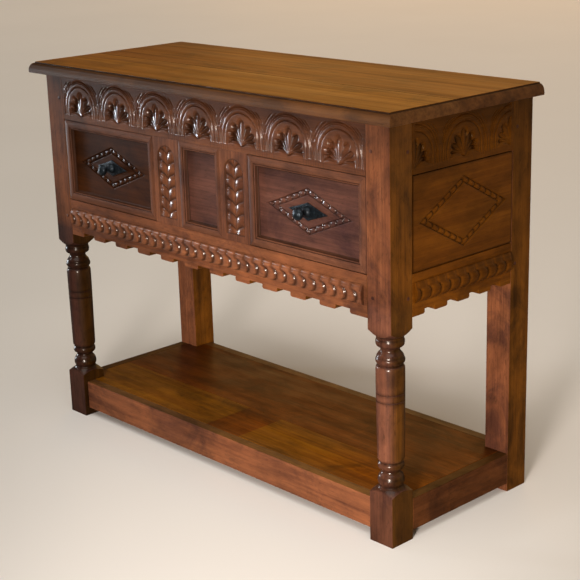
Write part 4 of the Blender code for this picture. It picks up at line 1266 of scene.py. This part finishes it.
def sun_light(name, direction, strength, softness, colour):
    light = lamp(name, "SUN", strength, colour, angle=math.radians(softness))
    light.rotation_euler = Vector(direction).to_track_quat("Z", "Y").to_euler()


def area_light(name, place, target, size, power, colour):
    light = lamp(name, "AREA", power, colour, shape="RECTANGLE", size=size[0], size_y=size[1])
    aim(light, place, target)


def spot_light(name, place, target, cone, radius, power, colour):
    light = lamp(name, "SPOT", power, colour, spot_size=math.radians(cone), spot_blend=1.0)
    light.data.shadow_soft_size = radius
    aim(light, place, target)


def studio():
    """A dim warm world that the camera sees as a plain grey backdrop."""
    world = bpy.data.worlds.new("studio")
    world.use_nodes = True
    tree = world.node_tree
    background = tree.nodes["Background"]
    background.inputs["Color"].default_value = (1.0, 0.82, 0.58, 1.0)
    background.inputs["Strength"].default_value = 0.10
    backdrop = node(tree, "ShaderNodeBackground")
    backdrop.inputs["Color"].default_value = (0.52, 0.50, 0.47, 1.0)
    seen = node(tree, "ShaderNodeMixShader")
    link(tree, node(tree, "ShaderNodeLightPath").outputs["Is Camera Ray"], seen.inputs[0])
    link(tree, background.outputs[0], seen.inputs[1])
    link(tree, backdrop.outputs[0], seen.inputs[2])
    link(tree, seen.outputs[0], tree.nodes["World Output"].inputs["Surface"])
    bpy.context.scene.world = world


def lights():
    sun_light("sky", (0.20, -0.35, 1.0), 1.5, 50, (1.0, 0.95, 0.88))
    sun_light("fill", (0.75, 0.95, 0.45), 0.32, 70, (1.0, 0.74, 0.42))
    spot_light("window", (-5.6, -1.05, 0.45), (0.20, -0.2, 0.75), 24, 0.40, 420, (0.86, 0.93, 1.0))
    spot_light("glint", (-5.2, -2.25, 0.45), (0.58, -0.2, 0.81), 3.6, 0.30, 1100, (0.84, 0.92, 1.0))
    area_light("lamp", (-3.4, -2.2, 2.6), (0.1, -0.2, 0.7), (0.5, 0.5), 13, (0.92, 0.95, 1.0))
    spot_light("key", (2.0, -3.0, 0.80), (0.30, -0.2, 0.16), 35, 0.34, 880, (1.0, 0.87, 0.77))
    area_light("back_warm", (-7.4, 12.5, 5.2), (0.0, 0.0, 0.9), (11.0, 8.4), 270, (1.0, 0.50, 0.12))
    spot_light("side_warm", (4.6, 1.9, 1.6), (0.57, 0.0, 0.60), 34, 0.8, 24, (1.0, 0.60, 0.16))


def camera():
    data = bpy.data.cameras.new("camera")
    data.sensor_width = 36.0
    data.lens = 87.9
    made = placed("camera", data)
    made.location = (2.370, -2.153, 1.374)
    made.rotation_euler = (1.27417, 0.02787, 0.8116)
    bpy.context.scene.camera = made


stage()
studio()
lights()
camera()
bpy.context.scene.view_settings.view_transform = "Standard"
bpy.context.view_layer.update()
